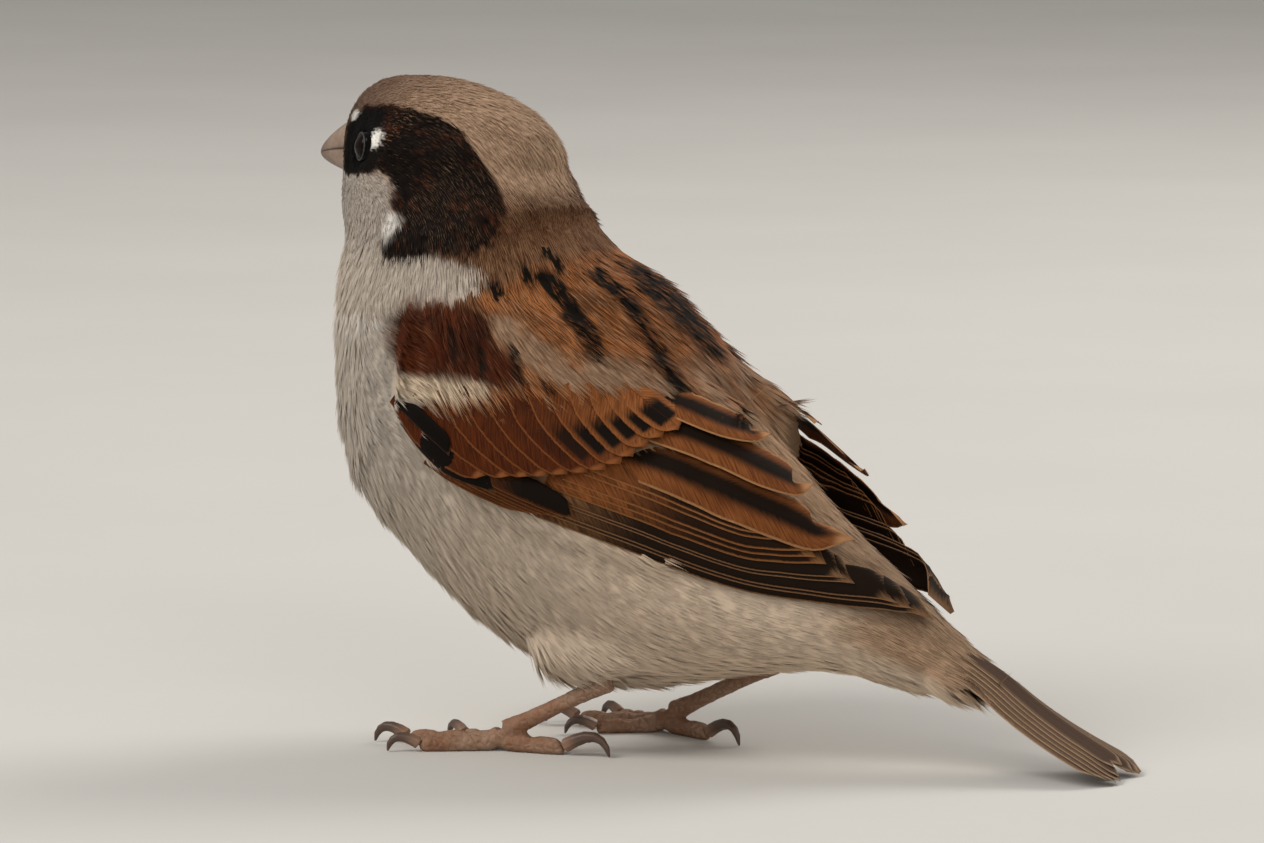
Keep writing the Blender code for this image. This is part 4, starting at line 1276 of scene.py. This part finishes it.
class Tract:  # gathers the vanes of one feather tract, then makes them one piece
    def __init__(self, name, seed, **shape):
        self.name = name
        self.shape = {**vaneShape, **shape}
        self.dice = np.random.default_rng(seed)
        self.vanes = []

    def vane(self, chart, line, half, layer, lift, trait=0.0, tint=0.0):
        shape, rows, columns = self.shape, self.shape["rows"], self.shape["columns"]
        middle, length = curveThrough(line, rows + 1)
        t = np.linspace(0, 1, rows + 1)[:, None]
        s = np.linspace(-1, 1, columns)[None, :]
        go = unit(np.gradient(middle, axis=0))
        aside = np.stack([go[:, 1], -go[:, 0]], 1)  # towards the lower edge
        width = half * (shape["rootWidth"] + (1 - shape["rootWidth"]) * ramp(t, 0, 0.35))
        past = np.clip((t - shape["tipStart"]) / (1 - shape["tipStart"]), 0, 1)
        width = width * np.maximum((1 - past ** shape["point"]) ** (1 / shape["point"]), 0.03)
        wide = np.ones((rows + 1, columns))
        for column in (0, -1):
            wide[:, column] += self.dice.uniform(-shape["ragged"], shape["ragged"] * 0.5, rows + 1)
        lateral = (s - shape["lean"]) * width * wide
        slant = np.abs(s) * width * -0.35 * (past * 0.8)
        u, v = (middle[:, k:k + 1] + lateral * aside[:, k:k + 1] + slant * go[:, k:k + 1] for k in (0, 1))
        above = chart.height(u, v) + layer + lift * t ** 1.3 + shape["tilt"] * (s + 1) / 2
        above = above - shape["tuck"] * fade(t, 0.05, 0.40)
        above = above + shape["camber"] * (1 - s ** 2) * np.sin(np.pi * np.clip(t, 0.05, 1)) ** 0.5
        facts = {"vaneAlong": np.repeat(t, columns, 1), "vaneAcross": np.repeat(s, rows + 1, 0),
                 "barb": t * length + 0 * s - np.abs(s) * half * 1.1,
                 "own": self.dice.uniform(), "trait": trait, "tint": tint}
        self.vanes.append((chart.point(u, v, above), chart.out, facts))

    def slab(self, grid, out, flip, corner, cell):  # a vane's points, faces and places on the map
        rows, columns = grid.shape[:2]
        size = rows * columns
        mirror = np.array((1, flip, 1))
        normal = unit(np.cross(np.gradient(grid, axis=0), np.gradient(grid, axis=1)))
        normal *= np.sign(normal @ out)[..., None]
        under = grid - normal * vaneThick * mm
        points = [*(grid * mirror).reshape(-1, 3), *(under * mirror).reshape(-1, 3)]
        across, along = np.meshgrid(np.linspace(0.08, 0.92, columns), np.linspace(0.05, 0.95, rows))
        upper, lower = (corner + np.stack([start + across * 0.47, along], -1).reshape(-1, 2) * cell
                        for start in (0.02, 0.51))
        heart = corner + np.array((0.255, 0.5)) * cell
        spots = np.vstack([upper, lower, upper + (upper - heart) * 0.06])
        rings = []
        for row in range(rows - 1):
            for a in range(row * columns, row * columns + columns - 1):
                b, d, e = a + 1, a + columns, a + columns + 1
                top, bottom = (a, b, e, d), (size + a, size + d, size + e, size + b)
                rings += [(top, top), (bottom, bottom)]
        index = np.arange(size).reshape(rows, columns)
        border = np.concatenate([index[0], index[1:, -1], index[-1, -2::-1], index[-2:0:-1, 0]]).tolist()
        for a, b in zip(border, border[1:] + border[:1]):
            rings.append(((b, a, size + a, size + b), (b, a, 2 * size + a, 2 * size + b)))
        faces = [ring[::flip] for ring, _ in rings]
        patches = [spots[k] for _, ring in rings for k in ring[::flip]]
        return points, faces, patches

    # the hair-like barbs along one vane's margins: where they stand and their facts
    def hairs(self, order, flip):
        grid, out, facts = self.vanes[order]
        rows, columns = grid.shape[:2]
        mirror = np.array((1, flip, 1))
        low, high = self.shape["fringe"]
        dice = np.random.default_rng(order + 7)
        made = []
        for column, beside, edge in ((0, 1, -0.97), (columns - 1, columns - 2, 0.97)):
            line, inner = grid[:, column], grid[:, beside]
            length = np.linalg.norm(np.diff(line, axis=0), axis=1).sum() / mm
            count = max(int(length * self.shape["barbs"] * 0.62), 3)
            at = np.sort(dice.uniform(0.22, self.shape["barbEnd"], count)) * (rows - 1)
            k = np.minimum(at.astype(int), rows - 2)
            part = (at - k)[:, None]
            spot = line[k] * (1 - part) + line[k + 1] * part
            outward = unit(spot - (inner[k] * (1 - part) + inner[k + 1] * part))
            onward = unit(line[k + 1] - line[k] + (grid[-1, columns // 2] - grid[0, columns // 2]) * 0.02)
            lay = unit(onward * 1.0 + outward * 0.75 + out * 0.12)
            share = at / (rows - 1)
            made.append({
                "root": (spot - lay * 0.25 * mm) * mirror, "lay": lay * mirror,
                "up": np.repeat(out[None, :] * mirror, count, 0), "size": dice.uniform(low, high, count) * mm,
                "vaneAlong": np.clip(share, 0, 0.995), "vaneAcross": np.full(count, edge),
                "barb": share * 10 + dice.uniform(0, 1, count), "feather": np.full(count, facts["own"]),
                "trait": np.full(count, facts["trait"]), "tint": np.full(count, facts["tint"])})
        return made

    def build(self, material, slot, replaced=()):
        points, faces, patches, facts, hairs = [], [], [], [], []
        cells = math.ceil(math.sqrt(len(self.vanes) * 2))
        cell = 1.0 / cells
        for turn, flip in enumerate((1, -1)):  # the left wing and its mirror image
            for order, (grid, out, own) in enumerate(self.vanes):
                index = order + turn * len(self.vanes)
                corner = np.array((index % cells, index // cells)) * cell
                morePoints, moreFaces, morePatches = self.slab(grid, out, flip, corner, cell)
                faces += [tuple(len(points) + k for k in face) for face in moreFaces]
                points += morePoints
                patches += morePatches
                facts.append({name: np.tile(np.broadcast_to(value, grid.shape[:2]).ravel(), 2)
                              for name, value in own.items()})
                hairs += self.hairs(order, flip)
        piece = newPiece(self.name, points, faces)
        for name in facts[0]:
            setFact(piece.data, name, np.concatenate([each[name] for each in facts]))
        piece.data.uv_layers.new(name="OFBake").data.foreach_set("uv", np.array(patches, np.float32).ravel())
        piece.data.materials.append(material)
        hairs = {name: np.concatenate([each[name] for each in hairs]) for name in hairs[0]}
        carrier = newPiece(self.name + "Barbs", hairs.pop("root"), [])
        for name, values in hairs.items():
            setFact(carrier.data, name, values)
        barbs = grow(self.name + "Barbs", carrier, barbTree, {
            "Breadth": 0.35 * mm, "Untidiness": 0.22, "Length Change": 0.3, "Seed": 5, "Material": material})
        own = getFact(barbs.data, "feather")
        setFact(barbs.data, "own", own)
        bakeMap(barbs, np.stack([own * 31.7 % 1, getFact(barbs.data, "vaneAlong")], 1) * 0.98 + 0.01)
        bpy.data.objects.remove(carrier)
        bpy.ops.object.select_all(action="DESELECT")
        bpy.context.view_layer.objects.active = piece
        piece.select_set(True)
        barbs.select_set(True)
        bpy.ops.object.join()
        piece.select_set(False)
        settle(piece, *replaced, slot=slot)
        print(self.name, triangles(piece), "triangles")


barbTree = coatTree("vaneBarbs", [tuftMesh("barb", 1, 0, 0, 0.2, 71, 0.1),
                                  tuftMesh("barbPair", 2, 0.3, 0.6, 0.18, 72, 0.1)], False)


def vaneFinish(name, look):
    material, wire = finish(name)
    along, across, own = wire.fact("vaneAlong"), wire.fact("vaneAcross"), wire.fact("own")
    trait, tint, barb = wire.fact("trait"), wire.fact("tint"), wire.fact("barb")
    lines = wire.noise(wire.pair(barb * 3.2, own * 57 + across * 1.1), 1.0, 3)
    hairs = wire.noise(wire.pair(barb * 9.0, own * 31 + across * 1.5), 1.0, 2)
    ragged = lines - 0.5
    edge = abs(across)
    web = lines.step(0.3, 0.7).mix(look["web"], look["webDark"])
    if "tintWeb" in look:
        web = tint.mix(web, lines.step(0.3, 0.7).mix(look["tintWeb"], look["tintDark"]))
    coreAt, coreWide, coreSoft = look["core"]
    reach = abs(across - coreAt) + ragged * look.get("coreRagged", 0.5)
    core = 1 - reach.step(coreWide - coreSoft, coreWide + coreSoft)
    start, end = look["coreSpan"]
    opening = look.get("opening", 0.08)
    core = core * (along + ragged * 0.14 + own * opening).step(start - opening, start + opening * 1.5)
    core = core * (1 - (along + ragged * 0.10).step(end - 0.05, end + 0.03))
    core = core * (trait if look.get("coreByTrait") else 1.0)
    colour = core.mix(web, look["dark"])
    fringeWide, tipWide = look["fringe"]
    side = across if look.get("outerOnly") else edge
    fringe = (side + ragged * 0.12).step(1 - fringeWide - 0.04, 1 - fringeWide + 0.04)
    fringe = fringe.most((along + ragged * 0.05 + edge * 0.03).step(1 - tipWide - 0.02, 1 - tipWide + 0.03))
    fringe = fringe * look.get("fringeShare", 0.9)
    colour = fringe.mix(colour, look["pale"])
    shaft = (1 - edge.step(0.015, 0.055)) * (1 - along.step(0.85, 0.97)) * 0.5
    colour = shaft.mix(colour, look["shaftColour"])
    shade = hairs * 0.34 + own * 0.14 + 0.74
    wire.surface(Base_Color=colour.shaded(shade), Roughness=0.76 - hairs * 0.14, Specular_IOR_Level=0.06,
                 Normal=wire.bump(hairs + lines * 0.6, 0.35, 0.00012))
    return material


looks = {
    "primaries": dict(web=tone(132, 92, 58), webDark=tone(78, 50, 30), dark=tone(30, 19, 11),
                      pale=tone(150, 112, 80),
                      core=(-0.2, 1.14, 0.04), coreSpan=(0.16, 1.4), coreRagged=0.08, opening=0.16,
                      fringe=(0.05, 0.014), fringeShare=0.8, shaftColour=tone(22, 15, 10)),
    "secondaries": dict(web=tone(140, 82, 42), webDark=tone(88, 48, 22), dark=tone(34, 20, 10),
                        pale=tone(152, 104, 64), core=(-0.2, 1.12, 0.05), coreSpan=(0.34, 1.4),
                        coreRagged=0.12,
                        opening=0.2, fringe=(0.06, 0.014), fringeShare=0.75,
                        shaftColour=tone(22, 14, 8)),
    "tertials": dict(web=tone(132, 78, 40), webDark=tone(90, 48, 21), dark=tone(25, 15, 8),
                     pale=tone(176, 130, 88),
                     core=(-0.18, 0.44, 0.24), coreSpan=(-0.3, 0.95), coreRagged=0.4, fringe=(0.09, 0.035),
                     fringeShare=0.8, shaftColour=tone(18, 11, 6)),
    "greaterCoverts": dict(web=tone(84, 38, 12), webDark=tone(52, 21, 6), dark=tone(18, 11, 6),
                           pale=tone(140, 84, 46), core=(0.05, 0.66, 0.14), coreSpan=(0.48, 0.84),
                           coreByTrait=True,
                           coreRagged=0.3, fringe=(0.10, 0.06), fringeShare=0.65, shaftColour=tone(50, 22, 8),
                           tintWeb=tone(142, 86, 46), tintDark=tone(98, 54, 25)),
    "alula": dict(web=tone(24, 15, 9), webDark=tone(16, 10, 6), dark=tone(13, 8, 5), pale=tone(120, 84, 56),
                  core=(0, 0.8, 0.2), coreSpan=(0, 1.2), fringe=(0.04, 0.012), fringeShare=0.6,
                  outerOnly=True,
                  shaftColour=tone(12, 8, 6)),
    "primaryCoverts": dict(web=tone(96, 52, 24), webDark=tone(62, 32, 14), dark=tone(20, 12, 7),
                           pale=tone(132, 84, 48), core=(-0.2, 1.0, 0.12), coreSpan=(0.5, 1.3), opening=0.14,
                           fringe=(0.05, 0.012), outerOnly=True, shaftColour=tone(16, 10, 7)),
    "tailFeathers": dict(web=tone(126, 100, 78), webDark=tone(96, 74, 56), dark=tone(70, 50, 36),
                         pale=tone(168, 140, 112), core=(-0.1, 0.80, 0.25), coreSpan=(-0.3, 1.3),
                         fringe=(0.06, 0.015), shaftColour=tone(40, 28, 20), coreRagged=0.25),
}
finishes = {name: vaneFinish(name + "Vane", look) for name, look in looks.items()}

# the feathers' lines are places along the wing and above it, in mm from the wrist;
# each flight feather lies on the next one out, so its outer edge shows
remiges = {
    "root": [(21, -5.8), (24, -2.9), (27, 0.1), (31, 3.4)],
    "middle": [(50, -4.9), (50, -2.6), (50, 0.2), (49, 3.0)],
    "tip": [(77.0, 0.3), (75.0, 0.7), (71.2, 0.9), (67.2, 1.3), (64.4, 2.0), (62.6, 2.7), (60.8, 3.2),
            (59.0, 3.7),
            (57.0, 4.2)],
}
remigesShape = {"point": 2.3, "ragged": 0.012, "camber": 0.15, "barbs": 0.5}
primaries, secondaries = Tract("primaries", 101, **remigesShape), Tract("secondaries", 102, **remigesShape)
count = 10
for k in range(count):
    share = (k + 0.3 * math.sin(2.6 * k) * (0 < k < count - 1)) / (count - 1)
    root, middle, tip = (between(remiges[name], share) for name in ("root", "middle", "tip"))
    onward = (middle[0] * 0.42 + tip[0] * 0.58, middle[1] * 0.42 + tip[1] * 0.58 - 0.55)
    tract, half = (primaries, 2.1) if k < 5 else (secondaries, 2.8)
    tract.vane(wingChart, onWing([root, middle, onward, tip]), half, -0.95 + 0.033 * k, 0.10 + 0.026 * k)
primaries.build(finishes["primaries"], "flight_feathers", ["wing_primaries_left", "wing_primaries_right"])
secondaries.build(finishes["secondaries"], "flight_feathers", ["wing_secondaries_left",
                                                               "wing_secondaries_right"])

tertials = Tract("tertials", 103, tipStart=0.66, ragged=0.03, camber=0.25, fringe=(0.2, 0.4), tuck=1.3,
                 barbs=2.0)
for line, half, layer in (
    ([(29, 5.0), (37, 4.3), (47, 3.8), (56, 3.2), (61.8, 3.5), (64.9, 6.0)], 3.3, -0.25),
    ([(30, 9.8), (38, 9.4), (45, 9.0), (52, 8.6), (56.4, 8.9), (58.5, 10.8)], 2.9, 0.0),
    ([(32, 13.6), (38.4, 12.7), (44, 12.4), (47.8, 12.8), (50.4, 14.4)], 2.5, 0.2),
):
    tertials.vane(wingChart, onWing(line), half, layer, 0.25)
tertials.build(finishes["tertials"], "flight_feathers")

primaryCoverts = Tract("primaryCoverts", 104, tilt=0.6, lean=0.6, rows=18, columns=7, tipStart=0.8,
                       rootWidth=0.45,
                       fringe=(0.15, 0.25), barbs=1.0)
count = 6
for k in range(count):
    share = k / (count - 1)
    root, tip = between([(8, -5.0), (9, -2.4)], share), between([(24, -5.6), (31.4, -3.6)], share)
    middle = ((root[0] + tip[0]) / 2, (root[1] + tip[1]) / 2 - 0.2)
    primaryCoverts.vane(wingChart, onWing([root, middle, tip]), 1.5, -0.45 + 0.05 * k, 0.3)
primaryCoverts.build(finishes["primaryCoverts"], "wing_coverts")

alula = Tract("alula", 105, tilt=0.2, rows=18, columns=7, tipStart=0.78, rootWidth=0.45, ragged=0.02,
              fringe=(0.12, 0.25), tuck=0.9)
for line, half, layer in (([(2.2, -1.2), (8.0, -4.2), (13.4, -5.4), (20.2, -4.6)], 1.6, 0.2),
                          ([(1.4, 0.6), (6.6, -1.0), (12.2, -2.6)], 1.0, 0.45)):
    alula.vane(wingChart, onWing(line), half, layer, 0.15)
alula.build(finishes["alula"], "wing_coverts")

greater = Tract("greaterCoverts", 106, tilt=0.75, lean=0.25, rows=22, tipStart=0.76, rootWidth=0.45,
                ragged=0.04,
                fringe=(0.35, 0.7), tuck=0.3)
greaterRoots = [(0.6, 1.4), (7.0, 5.6), (12.4, 8.0), (17.2, 10.2), (21.9, 12.2), (26.2, 13.8), (29.4, 14.6)]
greaterTips = [(18.2, -2.9), (22.4, -1.2), (25.2, -0.1), (28.0, 1.2), (30.9, 2.6), (33.4, 4.0), (35.2, 5.8),
    (36.2, 7.6), (37.6, 9.8), (39.2, 11.6)]
count = 12
for k in range(count):
    share = k / (count - 1)
    root, tip = between(greaterRoots, share), between(greaterTips, share)
    bow = 0.9 - 0.6 * share
    middle = ((root[0] + tip[0]) / 2 - 0.3 * bow, (root[1] + tip[1]) / 2 - bow)
    trait, tint = (float(ramp(np.array(share), 0.35, 0.6)), float(ramp(np.array(share), 0.45, 0.9)))
    greater.vane(wingChart, onWing([root, middle, tip]), 2.3, -0.85 + 0.05 * k, 1.1, trait, tint)
greater.build(finishes["greaterCoverts"], "wing_coverts")

tailChart = Chart(treeOf(["tail"]), np.array(tailRoot["through"]) * mm, tailRoot["go"], (0.44, 0, 0.9),
                  (-6, -14),
                  (42, 14), rounds=3, past=99)
tail = Tract("rectrices", 110, tilt=0.16, lean=0.1, ragged=0.015, camber=0.2, fringe=(0.1, 0.2), tuck=1.3,
             barbs=0.8, barbEnd=0.86)
tailTips = (28.4, 29.8, 30.7, 30.9, 30.3, 28.8)
for k, length in enumerate(tailTips):  # from the outermost pair in to the middle pair
    spread = 1 - k / (len(tailTips) - 1)
    line = [(-1.0, -(0.5 + 2.9 * spread)), (15.0, -(0.9 + 4.6 * spread)), (length, -(1.3 + 5.5 * spread))]
    tail.vane(tailChart, line, 1.95, -0.5 + 0.11 * k, 0.05 * k)
tail.build(finishes["tailFeathers"], "tail_feathers", ["tail"])
helpers = ("longTuft", "bodyTuft", "faceTuft", "barb", "hull")
for piece in list(bpy.data.objects):
    if piece.type == "MESH" and piece.name.startswith(helpers) and not piece.parent:
        bpy.data.objects.remove(piece)
print("feathers")
